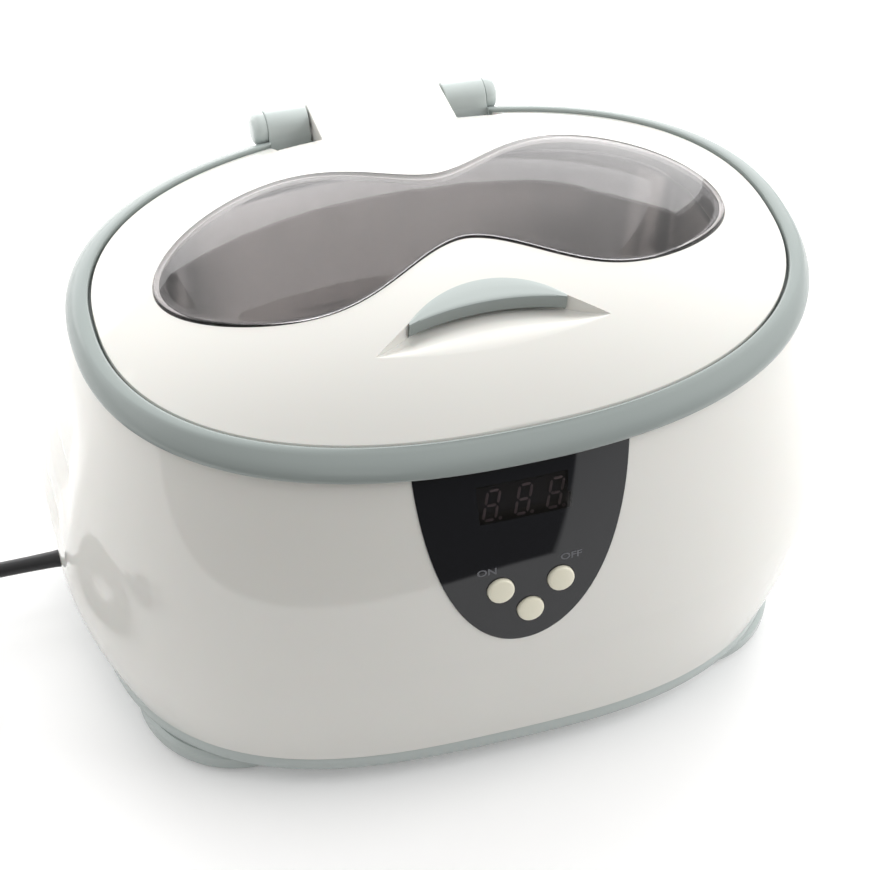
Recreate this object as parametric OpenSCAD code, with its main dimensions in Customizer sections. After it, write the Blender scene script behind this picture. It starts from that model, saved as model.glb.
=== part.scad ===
// Bench-top bath cleaner for contact lenses and other small objects.
// Origin: centre of the footprint on the table. X is the long axis, -Y the control side, +Z up.

/* [Body] */
// Half of the greatest length of the body
body_a = 102.7; // [92:0.2:115]
// Half of the greatest depth of the body
body_b = 73.6; // [66:0.2:82]
// Height of the widest level of the body
belly_z = 50; // [44:1:56]
// Height of the seam between body and trim ring
seam_z = 105; // [100:0.5:112]
// Depth of the notches between the ribs of the ends
rib_depth = 1.4; // [0.8:0.1:1.6]

/* [Lid] */
// Rise of the lid crown above the lid edge
crown_rise = 20; // [17:0.5:23]
// Half length of the lid window
window_a = 72.3; // [66:0.2:76]
// Half depth of the lid window's lobes, before the waist is drawn in
window_b = 30.7; // [27:0.2:33]
// Share by which the waist of the window is drawn in
waist_share = 0.61; // [0.45:0.01:0.65]

/* [Hinge] */
// Radius of the hinge barrels
barrel_r = 4.7; // [4.4:0.1:5]
// Half length of the lid's hinge barrel
tongue_half = 18; // [14:0.5:22]
// Length of each knuckle on the trim ring
knuckle_len = 11; // [8:0.5:13]
// Radius of the hinge pin
pin_r = 1.5; // [1.2:0.1:2]

/* [Bath] */
// Distance from the body's upper edge to the mouth of the bath at the ends
rim_a = 18; // [16:0.5:24]
// Distance from the body's upper edge to the mouth of the bath in front and behind
rim_b = 17.6; // [16:0.2:22]
// Depth of the bath
bath_depth = 52; // [44:1:56]

/* [Controls] */
// Half width of the front panel
panel_half = 26.8; // [23:0.2:30]
// Radius of the buttons
button_r = 3.3; // [3:0.05:3.5]
// Sideways distance of the ON and OFF buttons from the middle
button_x = 7.55; // [6.8:0.05:9]
// Travel of the buttons
button_travel = 0.8; // [0.5:0.1:0.8]

/* [Mains lead] */
// Diameter of the mains lead
cord_d = 4; // [3.4:0.1:4.4]

/* [Hidden] */
$fn = 48;
eps = 0.02;

// Colours
white = [0.93, 0.93, 0.91];
grey = [0.60, 0.66, 0.66];
smoke = [0.20, 0.19, 0.19, 0.6];
steel = [0.75, 0.76, 0.78];
cream = [0.87, 0.85, 0.76];
dark = [0.10, 0.10, 0.11];
green = [0.12, 0.36, 0.22];

// Sections of the moulded shells
segments = 84;
foot_z = 1;                      // underside of the tray's four corners
tray_z = 12;                     // seam between tray and body
wall = 2.8;
end_wall = 5;                    // the ribbed ends are thicker
notch_wall = 1.8;                // and thicker again behind the notches
tray_a = body_a - 9.3;
tray_b = body_b - 3;
top_a = body_a - 12.7;           // body under the trim ring
top_b = body_b - 13;

// Mouth of the bath, and the outer edge of its flange
bath_a = top_a - rim_a;
bath_b = top_b - rim_b;
flange_a = top_a - 7.1;
flange_b = top_b - 8.3;

// Lid outline and crown
edge_a = top_a - 3.7;
edge_b = top_b - 4.9;
edge_n = 2.29;
edge_z = seam_z + 5.5;

// Hinge line
hinge_y = edge_b + 5.4;
hinge_z = edge_z + 0.3;
knuckle_x = tongue_half + 0.5;
cap_x = knuckle_x + knuckle_len;
cap_len = 3.6;

// Front panel: an ellipse whose upper part is covered by the trim ring
panel_top = seam_z - 0.4;
panel_centre_z = seam_z + 7;
panel_drop = 57.3;
panel_tilt = 15;
panel_mid_z = seam_z - 25;

// Hand-set route of the mains lead, from the strain relief to the coil, and from the coil to the plug
exit_x = -93;
exit_y = 15;
exit_z = 12.8;
boot_len = 24;
cord_r = cord_d / 2;
lead_route = [[-117, 15, 12.8], [-120.5, 15, 12.8], [-124, 15, 12.2], [-128, 15, 10.9], [-132, 15, 9.0],
    [-137, 15, 6.5], [-142, 15, 4.4], [-147, 15, 3.1], [-153, 15, 2.5], [-160, 15, 2.5]];
coil_x = -166;
coil_y = -17;
coil_z = 0.5;                    // thickness of the tie that passes under the coil
coil_r = 24;
coil_columns = 5;
coil_rows = 2;
tail_route = [[-198, -18, 6.5], [-198, -23, 6.5], [-198, -28, 6.4], [-198, -34, 6.3],
    [-198, -40, 6.4], [-198, -44, 6.4]];
plug_h = 12.8;

// ---------- outline and skin functions ----------

// Point of a superellipse of half axes a and b at parameter angle t
function oval_point(a, b, n, t) =
    let (k = pow(pow(abs(cos(t)), n) + pow(abs(sin(t)), n), -1 / n)) [a * k * cos(t), b * k * sin(t)];

function oval(a, b, n, z, m = segments) =
    [for (i = [0:m - 1]) let (p = oval_point(a, b, n, 360 * i / m)) [p[0], p[1], z]];

function mix(p, q, s) = p + s * (q - p);

// Facets between rings of equal length; the first faces down and the last faces up
function band_faces(rows, m) = [for (k = [0:rows - 2], i = [0:m - 1]) each
    let (j = (i + 1) % m, a = k * m + i, b = (k + 1) * m + i, c = (k + 1) * m + j, d = k * m + j)
        [[a, b, c], [a, c, d]]];

// Closed solid through a list of rings, with flat ends
module skin_solid(rings) {
    m = len(rings[0]);
    rows = len(rings);
    polyhedron(points = [for (r = rings) each r],
        faces = concat([[for (i = [0:m - 1]) i]], band_faces(rows, m),
            [[for (i = [m - 1:-1:0]) (rows - 1) * m + i]]));
}

// Closed solid whose section is a loop of rings, open in the middle
module skin_loop(rings) {
    m = len(rings[0]);
    rows = len(rings);
    closing = [for (i = [0:m - 1]) each
        let (j = (i + 1) % m, a = (rows - 1) * m + i, d = (rows - 1) * m + j) [[a, i, j], [a, j, d]]];
    polyhedron(points = [for (r = rings) each r], faces = concat(band_faces(rows, m), closing));
}

// ---------- body ----------

function above(z) = z > belly_z ? pow((z - belly_z) / (seam_z - belly_z), 1.65) : 0;
function below(z) = z < belly_z ? pow((belly_z - z) / (belly_z - tray_z), 1.5) : 0;
// The ends bulge lowest a little under the widest level of the front
end_belly = belly_z - 3.2;
function end_above(z) = z > end_belly ? pow((z - end_belly) / (seam_z - end_belly), 1.53) : 0;
function end_below(z) = z < end_belly ? pow((end_belly - z) / (end_belly - tray_z), 1.74) : 0;
function body_half_x(z) = body_a - (body_a - top_a) * end_above(z) - (body_a - tray_a) * end_below(z);
function body_half_y(z) = body_b - (body_b - top_b) * above(z) - (body_b - tray_b) * below(z);
function body_n(z) = 2.32 + 0.5 * pow(max(0, (seam_z - z) / (seam_z - tray_z)), 1.1);

// Grip recess at both ends: it deepens upwards, has three sharp notches and fades out front and rear
function ramp(z, low, high) = max(0, min(1, (z - low) / (high - low)));
function ease(f) = f * f * (3 - 2 * f);
recess_depth = 3.3;
notch_levels = [36, 51, 66];
function notch(z, level) = max(0, 1 - (z > level ? (z - level) / 3.5 : (level - z) / 5.5));
function rib_cut(z) = recess_depth * ramp(z, 27, seam_z - 33) * (1 - ease(ramp(z, seam_z - 29, seam_z - 7)))
    + rib_depth * (notch(z, notch_levels[0]) + notch(z, notch_levels[1]) + notch(z, notch_levels[2]));
function rib_reach(t) = abs(cos(t)) > 0.3 ? max(0, min(1, (0.62 - abs(sin(t) - 0.36)) / 0.2)) : 0;
last_notch = notch_levels[2] + 3.5;
body_levels = concat([for (rise = [0, 3, 7, 11, 15]) tray_z + rise],
    [for (level = notch_levels, step = [-5.5, -2.7, 0, 1.7, 3.5]) level + step],
    [for (rise = [13, 29, 41, 53, 63, 71]) last_notch + rise / 71 * (seam_z - last_notch)]);

function body_ring(z, inset_x, inset_y) = [for (i = [0:segments - 1])
    let (t = 360 * i / segments, cut = inset_x == 0 ? rib_cut(z) * rib_reach(t) : 0,
        p = oval_point(body_half_x(z) - inset_x - cut, body_half_y(z) - inset_y, body_n(z), t))
    [p[0], p[1], z]];

function front_y(x, z) = -body_half_y(z)
    * pow(max(0, 1 - pow(abs(x) / body_half_x(z), body_n(z))), 1 / body_n(z));

// Slab that follows the front of the body within the panel's outline, between two offsets from the surface
function panel_rings(grow, proud, depth, top) = let (
        drop = panel_drop + grow, low = asin(min(1, (panel_centre_z - top) / drop)), steps = 16, cols = 8)
    [for (j = [steps:-1:0]) let (
        t = low + (84 - low) * j / steps, z = panel_centre_z - drop * sin(t),
        w = (panel_half + grow) * cos(t)) concat(
            [for (i = [0:cols]) let (x = w * (2 * i / cols - 1)) [x, front_y(x, z) - proud, z]],
            [for (i = [cols:-1:0]) let (x = w * (2 * i / cols - 1)) [x, front_y(x, z) + depth, z]])];

// Places children in the control panel's own frame: X right, Y up the panel, Z out of it
module at_panel() {
    translate([0, -body_half_y(panel_mid_z), panel_mid_z]) rotate([90 - panel_tilt, 0, 0]) children();
}

// Offset of the body surface from the panel frame's plane, at height v up the panel
function panel_z(v) = panel_mid_z + v * cos(panel_tilt);
function surface_w(v) = let (z = panel_z(v))
    (body_half_y(z) - body_half_y(panel_mid_z)) * cos(panel_tilt) + (z - panel_mid_z) * sin(panel_tilt);

group_x = 1;                     // the three buttons stand a little to the right of the middle
button_v = -8.5;
set_v = -15.9;
display_v = 17.6;
module button_spots() {
    for (s = [-1, 1]) translate([group_x + s * button_x, button_v, 0]) children();
    translate([group_x, set_v, 0]) children();
}

module housing() color(white) difference() {
    skin_loop(concat([for (z = body_levels) body_ring(z, 0, 0)],
        [for (z = [seam_z, seam_z - 8, seam_z - 20, 65, 40, tray_z + 15, tray_z])
            body_ring(z, end_wall + (z > 30 && z < seam_z - 15 ? notch_wall : 0), wall)]));
    skin_solid(panel_rings(0.12, 6, 1.45, seam_z + 2));
    // opening behind the lens, for the display and the buttons
    at_panel() translate([0, 0, -20]) linear_extrude(30) union() {
        translate([-13, display_v - 9]) square([26, 18]);
        polygon([[-13.5, -1.5], [13.5, -1.5], [13.5, -14], [7.5, -21.5], [-7.5, -21.5], [-13.5, -14]]);
    }
    // notch for the strain relief
    translate([exit_x - 12, exit_y, exit_z]) rotate([0, 90, 0]) cylinder(r = 3.2, h = 30);
    // screw bosses are reached from below through the tray
}

module trim_ring() color(grey) difference() {
    union() {
        skin_loop([
            oval(top_a + 2.2, top_b + 1.8, 2.30, seam_z),
            oval(top_a + 2.6, top_b + 2.1, 2.28, seam_z + 0.9),
            oval(top_a + 2.4, top_b + 1.2, 2.27, seam_z + 2.4),
            oval(top_a + 1.9, top_b - 0.5, 2.26, seam_z + 4.0),
            oval(top_a + 1.0, top_b - 2.3, 2.27, seam_z + 5.3),
            oval(top_a - 0.1, top_b - 3.5, 2.28, seam_z + 5.9),
            oval(edge_a + 1.2, edge_b + 1.0, edge_n, seam_z + 6.0),
            oval(edge_a + 0.7, edge_b + 0.6, edge_n, seam_z + 5.5),
            oval(edge_a + 0.7, edge_b + 0.6, edge_n, seam_z + 2.6),
            oval(flange_a + 0.7, flange_b + 0.7, 2.4, seam_z + 2.6),
            oval(flange_a + 0.7, flange_b + 0.7, 2.4, seam_z - 0.4),
            oval(bath_a + 4.5, bath_b + 3.8, 2.8, seam_z - 0.4),
            oval(bath_a + 4.5, bath_b + 3.8, 2.8, seam_z - 3),
            oval(top_a - end_wall - 0.4, top_b - wall - 0.4, 2.32, seam_z - 3),
            oval(top_a - end_wall - 0.4, top_b - wall - 0.4, 2.32, seam_z)]);
        for (s = [-1, 1]) hinge_knuckle(s);
    }
    // gap for the lid's barrel and web
    translate([-knuckle_x, edge_b - 6, seam_z + 0.2]) cube([2 * knuckle_x, 30, 20]);
    translate([-cap_x - 5, hinge_y, hinge_z]) rotate([0, 90, 0]) cylinder(r = pin_r + 0.04, h = 2 * cap_x + 10);
    // hollows for the caps
    for (x = [-cap_x - cap_len - 0.5, cap_x]) translate([x, hinge_y, hinge_z]) rotate([0, 90, 0])
        cylinder(r = barrel_r + 0.15, h = cap_len + 0.5);
}

module hinge_knuckle(side) {
    translate([side > 0 ? knuckle_x : -knuckle_x - knuckle_len, hinge_y, hinge_z])
        rotate([90, 0, 90]) linear_extrude(knuckle_len) union() {
            circle(r = barrel_r);
            polygon([[-4.3, 2], [-6.8, edge_z - 2.9 - hinge_z], [barrel_r - 3.4, seam_z - hinge_z],
                [barrel_r, -3], [barrel_r, 0]]);
        }
}

module hinge_pin() color(steel) translate([-cap_x - 1.5, hinge_y, hinge_z])
    rotate([0, 90, 0]) cylinder(r = pin_r, h = 2 * cap_x + 3);

// Domed cover on the outer end of a knuckle, with a blind bore for the pin
module hinge_cap(side) color(grey) translate([side * cap_x, hinge_y, hinge_z]) rotate([0, side * 90, 0])
    difference() {
        rotate_extrude() intersection() {
            union() {
                square([barrel_r - 0.2, cap_len - 2.5]);
                square([barrel_r - 2.7, cap_len]);
                translate([barrel_r - 2.7, cap_len - 2.5]) circle(r = 2.5);
            }
            square([20, 20]);
        }
        translate([0, 0, -1]) cylinder(r = pin_r + 0.04, h = 2.6);
    }
module hinge_cap_left() hinge_cap(-1);
module hinge_cap_right() hinge_cap(1);

// ---------- bath ----------

module tank() color(steel) skin_solid([
    oval(bath_a - 12, bath_b - 10, 2.7, seam_z - bath_depth - 0.8),
    oval(bath_a - 6.5, bath_b - 6, 2.8, seam_z - bath_depth + 0.6),
    oval(bath_a - 3.2, bath_b - 3, 2.9, seam_z - bath_depth + 5),
    oval(bath_a - 2.2, bath_b - 1.6, 2.9, seam_z - bath_depth + 14),
    oval(bath_a + 0.8, bath_b + 0.8, 2.9, seam_z - 0.6),
    oval(bath_a + 1.4, bath_b + 1.4, 2.9, seam_z + 0.6),
    oval(flange_a, flange_b, 2.4, seam_z + 0.6),
    oval(flange_a, flange_b, 2.4, seam_z + 1.4),
    oval(bath_a + 1.2, bath_b + 1.2, 2.9, seam_z + 1.4),
    oval(bath_a + 0.3, bath_b + 0.3, 2.9, seam_z + 1.0),
    oval(bath_a, bath_b, 2.9, seam_z - 0.6),
    oval(bath_a - 3, bath_b - 2.4, 2.9, seam_z - bath_depth + 14),
    oval(bath_a - 4, bath_b - 3.8, 2.9, seam_z - bath_depth + 5),
    oval(bath_a - 7.2, bath_b - 6.7, 2.8, seam_z - bath_depth + 1.4),
    oval(bath_a - 12, bath_b - 10, 2.7, seam_z - bath_depth)]);

// Flat seal between the bath's flange and the shelf of the trim ring
module tank_gasket() color(dark) skin_loop([
    oval(flange_a - 0.3, flange_b - 0.3, 2.4, seam_z - 0.4),
    oval(flange_a - 0.3, flange_b - 0.3, 2.4, seam_z + 0.6),
    oval(bath_a + 5.2, bath_b + 4.4, 2.8, seam_z + 0.6),
    oval(bath_a + 5.2, bath_b + 4.4, 2.8, seam_z - 0.4)]);

// Sandwich transducer under the bath
bath_under = seam_z - bath_depth - 0.8;
module transducer_front() color(steel) translate([0, 0, bath_under - 15]) difference() {
    rotate_extrude() polygon([[0, 0], [15, 0], [15, 5], [21, 12], [21, 15], [0, 15]]);
    translate([0, 0, -1]) cylinder(r = 3.05, h = 10);
}
module piezo_rings() color([0.82, 0.78, 0.70]) for (k = [0, 1]) translate([0, 0, bath_under - 18.8 - 3.8 * k])
    difference() {
        cylinder(r = 15, h = 3.6);
        translate([0, 0, -1]) cylinder(r = 6, h = 6);
    }
module contact_tabs() color([0.78, 0.6, 0.3]) for (k = [0, 1]) translate([0, 0, bath_under - 15.2 - 3.8 * k])
    linear_extrude(0.2) difference() {
        union() {
            circle(r = 15);
            translate([10, -2 + 0.5 * k]) square([11, 4]);
        }
        circle(r = 6);
    }
module transducer_back() color([0.5, 0.5, 0.52]) translate([0, 0, bath_under - 30.6]) difference() {
    cylinder(r = 15, h = 8);
    translate([0, 0, -1]) cylinder(r = 3.2, h = 12);
}
module transducer_bolt() color([0.35, 0.35, 0.37]) translate([0, 0, bath_under - 35.6]) {
    difference() {
        cylinder(r = 5, h = 5);
        translate([0, 0, -1]) cylinder(r = 2.9, h = 3.5, $fn = 6);
    }
    translate([0, 0, 5 - eps]) cylinder(r = 3, h = 23.5);
}

// ---------- controls ----------

module panel_lens() color(smoke) difference() {
    skin_solid(panel_rings(0, 0.25, 1.4, panel_top));
    at_panel() translate([0, 0, -8]) button_spots() cylinder(r = button_r + 0.2, h = 16);
}

module control_board() color(green) at_panel() translate([-24, set_v - 7, -11])
    cube([48, display_v + 6.5 - set_v + 7, 1.6]);

module tact_switches() color(dark) at_panel() translate([0, 0, -9.4]) button_spots() union() {
    translate([-3, -3, 0]) cube([6, 6, 2.8]);
    translate([0, 0, 2.8 - eps]) cylinder(r = 1.7, h = 0.7);
}

digit_pitch = 7.35;
module display_module() color([0.14, 0.14, 0.15]) at_panel()
    translate([-11.3, display_v - 5.6, -9.4]) cube([22.6, 11.2, 6.2]);

// Bars of three leaning seven-bar figures with their points
bar_l = 2.9;
bar_w = 0.75;
lean = 0.17;
module digit_bar(x, y, upright) translate([x + lean * y, y, 0]) linear_extrude(0.25) polygon(upright
    ? [[-bar_w / 2 - lean * bar_l / 2, -bar_l / 2], [bar_w / 2 - lean * bar_l / 2, -bar_l / 2],
        [bar_w / 2 + lean * bar_l / 2, bar_l / 2], [-bar_w / 2 + lean * bar_l / 2, bar_l / 2]]
    : [[-bar_l / 2, 0], [-bar_l / 2 + 0.35, -bar_w / 2], [bar_l / 2 - 0.35, -bar_w / 2], [bar_l / 2, 0],
        [bar_l / 2 - 0.35, bar_w / 2], [-bar_l / 2 + 0.35, bar_w / 2]]);
module digit_bars() color([0.42, 0.34, 0.34]) at_panel() for (k = [-1, 0, 1])
    translate([k * digit_pitch, display_v, -3.2]) union() {
        for (y = [-1, 0, 1]) digit_bar(0, y * 3.6, false);
        for (x = [-1, 1], y = [-1, 1]) digit_bar(x * 2.05, y * 1.8, true);
        translate([3.1, -3.6, 0]) cylinder(r = 0.5, h = 0.25, $fn = 16);
    }

// Button with a crowned face, a retaining collar behind the lens and a stem over its switch
module button(x, v) color(cream) at_panel() translate([x, v, surface_w(v)]) {
    top = 1.5;
    rotate_extrude() polygon(concat([[0, -4.9 - surface_w(v)], [2, -4.9 - surface_w(v)],
        [2, -3.2], [button_r + 0.9, -3.2], [button_r + 0.9, -2.2], [button_r, -2.2], [button_r, top - 0.7]],
        [for (a = [0:15:90]) [button_r - 0.5 + 0.5 * cos(a), top - 0.7 + 0.5 * sin(a)]], [[0, top]]));
}
module button_on() button(group_x - button_x, button_v);
module button_set() button(group_x, set_v);
module button_off() button(group_x + button_x, button_v);

// ---------- base and power supply ----------

// Middle of each round corner foot, and the power board between the posts on the feet
corner_x = tray_a - 31.4;
corner_y = tray_b - 38.6;
post_r = 4;
board_x = corner_x - 32;
board_len = 48;
board_half = corner_y - post_r - 1;
board_z = 10;
module corners() for (x = [-1, 1], y = [-1, 1]) translate([x * corner_x, y * corner_y, 0]) children();

module base_tray() color(grey) difference() {
    union() {
        skin_solid([
            oval(tray_a - 10, tray_b - 10, 2.7, 4),
            oval(tray_a - 5.5, tray_b - 5.5, 2.75, 4.3),
            oval(tray_a - 1.5, tray_b - 1.5, 2.8, 6),
            oval(tray_a - 0.1, tray_b - 0.1, 2.82, 8),
            oval(tray_a - 0.1, tray_b - 0.1, 2.82, tray_z),
            oval(tray_a - 5.4, tray_b - wall, 2.8, tray_z),
            oval(tray_a - 6.5, tray_b - wall - 1.4, 2.8, 6.5)]);
        corners() rotate_extrude() intersection() {
            union() {
                square([24, 6]);
                translate([23.5, foot_z + 2]) circle(r = 2);
                translate([0, foot_z]) square([23.5, 5]);
                translate([23.5, foot_z + 2]) square([2, 4]);
            }
            translate([0, foot_z]) square([40, 20]);
        }
        corners() cylinder(r = post_r, h = tray_z + 6);
        for (x = [4, board_len - 4], y = [-1, 1]) translate([board_x + x, y * (board_half - 4), 6])
            cylinder(r = 2.5, h = board_z - 6);
    }
    corners() translate([0, 0, -1]) cylinder(r = 9.1, h = 2.6);
    corners() translate([0, 0, 1]) cylinder(r = 3.2, h = 6);
    corners() cylinder(r = 1.65, h = 30);
    translate([exit_x - 12, exit_y, exit_z]) rotate([0, 90, 0]) cylinder(r = 3.2, h = 30);
}

module foot_pad(sx, sy) color(dark) translate([sx * corner_x, sy * corner_y, 0]) rotate_extrude()
    polygon([[0, 0], [8, 0], [9, 1], [9, 1.6], [0, 1.6]]);
module foot_pad_front_left() foot_pad(-1, -1);
module foot_pad_front_right() foot_pad(1, -1);
module foot_pad_rear_left() foot_pad(-1, 1);
module foot_pad_rear_right() foot_pad(1, 1);

module base_screws() color(steel) corners() union() {
    translate([0, 0, 4.6]) cylinder(r = 2.9, h = 2.4);
    translate([0, 0, 7 - eps]) cylinder(r = 1.6, h = 13);
}

board_top = board_z + 1.6;
core_w = board_half - 7;
sink_w = board_half - 3;
module power_board() color(green) translate([board_x, -board_half, board_z])
    cube([board_len, 2 * board_half, board_top - board_z]);
module transformer() color([0.75, 0.62, 0.25]) translate([board_x + 6, 3 - board_half, board_top]) union() {
    difference() {
        cube([24, core_w, 20]);
        translate([6, -1, 5]) cube([12, core_w + 2, 10]);
    }
    translate([12, 0.5, 10]) rotate([-90, 0, 0]) cylinder(r = 4.9, h = core_w - 1);
}
module capacitor() color([0.12, 0.14, 0.3]) translate([board_x + 16, 12, board_top]) cylinder(r = 8, h = 24);
module heat_sink() color([0.6, 0.6, 0.62]) translate([board_x + 32, -1, board_top]) union() {
    cube([2, sink_w, 22]);
    for (k = [0:5]) translate([2 - eps, 0.5 + (sink_w - 2) / 5 * k, 0]) cube([8, 1.2, 22]);
}

// ---------- lid ----------

function crown(x, y) = edge_z
    + crown_rise * (1 - pow(abs(x) / edge_a, edge_n) - pow(abs(y) / edge_b, edge_n));
function drop_to(p, d) = [p[0], p[1], crown(p[0], p[1]) - d];
function waist(x) = 1 - waist_share * exp(-pow(abs(x) / (window_a * 0.355), 1.8));
function window_point(t, inset) =
    [(window_a - inset) * cos(t), (window_b * waist(window_a * cos(t)) - inset) * sin(t) + 0.3];
function edge_point(t, inset) = oval_point(edge_a - inset, edge_b - inset, edge_n, t);
function around(f) = [for (i = [0:segments - 1]) f(360 * i / segments)];
function lid_ring(s, d) = around(function(t) drop_to(mix(window_point(t, 0), edge_point(t, 0.4), s), d));

// Extra thickness under the finger pocket
function boss(x, y) = 6.5 * exp(-pow(abs(x) / 27, 6)) * exp(-pow(abs(y + 31) / 10.5, 6));
function under_ring(s) = around(function(t) let (p = mix(window_point(t, 2), edge_point(t, 1.9), s))
    drop_to(p, 2.4 + boss(p[0], p[1])));
function skirt_ring(inset, z) = around(function(t) let (p = edge_point(t, inset)) [p[0], p[1], z]);

// Finger pocket: an eye-shaped scoop, flush with the crown in front and deepest at its rear wall
pocket_half = 28.6;
pocket_deep = 6.9;
pocket_lip = 0.3;
arc_x = 19.4;
arc_r = 30.4;
arc_y = -23.7 - arc_r;
function pocket_rear(x) = abs(x) <= arc_x ? arc_y + sqrt(arc_r * arc_r - x * x)
    : arc_y + sqrt(arc_r * arc_r - arc_x * arc_x) - 0.582 * (abs(x) - arc_x);
function pocket_front(x) = -39.9 + 3.55 * pow(x / pocket_half, 2);
function pocket_floor(x, y, w) = crown(x, y) - pocket_lip - pocket_deep * ease(w) * (1 - pow(abs(x) / pocket_half, 3));
pocket_steps = [for (i = [-8:8]) arc_x * sin(i * 11.25)];
function pocket_section(x) = let (f = pocket_front(x), r = pocket_rear(x)) concat(
    [for (w = [0:0.2:1]) let (y = mix(f, r, w)) [x, y, pocket_floor(x, y, w)]],
    [[x, r, crown(x, r) + 4], [x, f, crown(x, f) + 4]]);

module lid_shell() color(white) difference() {
    union() {
        skin_loop(concat(
            [skirt_ring(0.6, edge_z - 2.4), skirt_ring(0, edge_z - 1.8), skirt_ring(0, edge_z - 0.4)],
            [for (s = [1, 0.94, 0.85, 0.7, 0.52, 0.34, 0.17, 0]) lid_ring(s, 0)],
            [lid_ring(0, 1.2), around(function(t) drop_to(window_point(t, 2), 1.2)), under_ring(0)],
            [for (s = [0.17, 0.34, 0.52, 0.7, 0.85, 1]) under_ring(s)],
            [skirt_ring(1.9, edge_z - 2.4)]));
        // web and barrel of the hinge
        translate([-tongue_half, hinge_y, hinge_z]) rotate([90, 0, 90]) linear_extrude(2 * tongue_half) union() {
            circle(r = barrel_r);
            polygon([[0, barrel_r], [-14.5, 5.7], [-14, 1.5], [-9, -0.5], [-4, -3], [0, -2]]);
        }
    }
    skin_solid([for (x = concat([-pocket_half, -26, -22.5], pocket_steps, [22.5, 26, pocket_half]))
        pocket_section(x)]);
    // notches for the knuckles
    for (x = [-cap_x - 0.6, tongue_half]) translate([x, edge_b - 9.7, edge_z - 5])
        cube([knuckle_len + 1.1, 20, 20]);
    translate([-tongue_half - 1, hinge_y, hinge_z]) rotate([0, 90, 0])
        cylinder(r = pin_r + 0.08, h = 2 * tongue_half + 2);
}

// Smoked cover: it lies on the rim's ledge and stands slightly proud of the crown
function pane_ring(inset, s, lift) = around(function(t) let (p = window_point(t, inset) * s)
    [p[0], p[1], crown(p[0], p[1]) + lift]);
module lid_window() color(smoke) skin_solid(concat(
    [for (s = [0.03, 0.3, 0.55, 0.8]) pane_ring(0.15, s, -1.15)],
    [pane_ring(2, 1, -1.15), pane_ring(0.15, 1, -1.15), pane_ring(0.15, 1, 0.25), pane_ring(0.35, 1, 0.6), pane_ring(0.9, 1, 0.8)],
    [for (s = [0.85, 0.6, 0.3, 0.03]) pane_ring(0.9, s, 0.8)]));

// Crescent grip across the rear of the pocket
function grip_front(x) = -29.5 - 100 + sqrt(100 * 100 - x * x);
function grip_section(x) = let (f = grip_front(x), r = pocket_rear(x) - 0.03, m = (f + r) / 2, z = crown(x, f) + 0.25)
    [[x, f + 0.15, z - 3.7], [x, r, z - 4.6], [x, r, crown(x, r) + 0.1], [x, mix(m, r, 0.5), crown(x, mix(m, r, 0.5)) + 0.3],
        [x, m, crown(x, m) + 0.3], [x, mix(f, m, 0.3), z + 0.05], [x, f, z - 0.5], [x, f, z - 3.2]];
module lid_handle() color(grey) skin_solid([for (x = pocket_steps) grip_section(x * 0.995)]);

// ---------- mains lead ----------

module strain_relief() color(dark) translate([exit_x, exit_y, exit_z]) rotate([0, -90, 0]) rotate_extrude()
    polygon([[0, -9], [4.6, -9], [4.6, -6.5], [3.1, -6.5], [3.1, 1], [2.8, 1.3], [2.8, 2.6],
        [2.45, 2.9], [2.45, 3.5], [2.6, 3.8], [2.25, 7], [2.1, 14], [cord_r + 0.05, boot_len],
        [0, boot_len]]);

// Tube along a route: each ring is square to the route there
tube_sides = 10;
function unit(v) = v / norm(v);
function heading(route, k) = unit(route[min(k + 1, len(route) - 1)] - route[max(k - 1, 0)]);
function tube_ring(route, k) = let (h = heading(route, k), u = unit(cross([0, 0, 1], h)), v = cross(h, u))
    [for (i = [0:tube_sides - 1]) let (a = 360 * (i + 0.5) / tube_sides, r = cord_r / cos(180 / tube_sides) * 0.99)
        route[k] + r * (cos(a) * u + sin(a) * v)];
module tube(route) skin_solid([for (k = [0:len(route) - 1]) tube_ring(route, k)]);

module cord_lead() color(dark) tube(lead_route);
module cord_tail() color(dark) tube(tail_route);
module cord_coil() color(dark) translate([coil_x, coil_y, coil_z]) rotate_extrude()
    translate([coil_r - coil_columns * cord_r, 0]) square([coil_columns * cord_d, coil_rows * cord_d]);
module coil_tie() color([0.2, 0.2, 0.22]) translate([coil_x, coil_y, 0]) rotate([0, 0, 300])
    rotate_extrude(angle = 16) difference() {
        translate([coil_r - coil_columns * cord_r - coil_z, 0])
            square([coil_columns * cord_d + 2 * coil_z, coil_rows * cord_d + 2 * coil_z]);
        translate([coil_r - coil_columns * cord_r, coil_z])
            square([coil_columns * cord_d, coil_rows * cord_d]);
    }

module plug_body() color(dark) translate([tail_route[0][0], tail_route[5][1], 0]) rotate([0, 0, 180])
    linear_extrude(plug_h) union() {
        polygon([[-3.4, 0], [3.4, 0], [4.4, 9], [11.5, 18], [13, 24], [13, 35], [-13, 35], [-13, 24],
            [-11.5, 18], [-4.4, 9]]);
    }
module plug_pins() color(steel) for (s = [-1, 1])
    translate([tail_route[0][0] + s * 9.3, tail_route[5][1] - 35 - 19, plug_h / 2]) rotate([-90, 0, 0]) union() {
        translate([0, 0, 2]) cylinder(r = 2, h = 17);
        translate([0, 0, 2]) sphere(r = 2);
    }

housing();
trim_ring();
tank();
tank_gasket();
panel_lens();
display_module();
digit_bars();
control_board();
tact_switches();
base_tray();
foot_pad_front_left();
foot_pad_front_right();
foot_pad_rear_left();
foot_pad_rear_right();
base_screws();
transducer_front();
piezo_rings();
contact_tabs();
transducer_back();
transducer_bolt();
power_board();
transformer();
capacitor();
heat_sink();
hinge_pin();
hinge_cap_left();
hinge_cap_right();
lid_shell();
lid_window();
lid_handle();
button_on();
button_set();
button_off();
strain_relief();
cord_lead();
cord_coil();
coil_tie();
cord_tail();
plug_body();
plug_pins();
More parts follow.
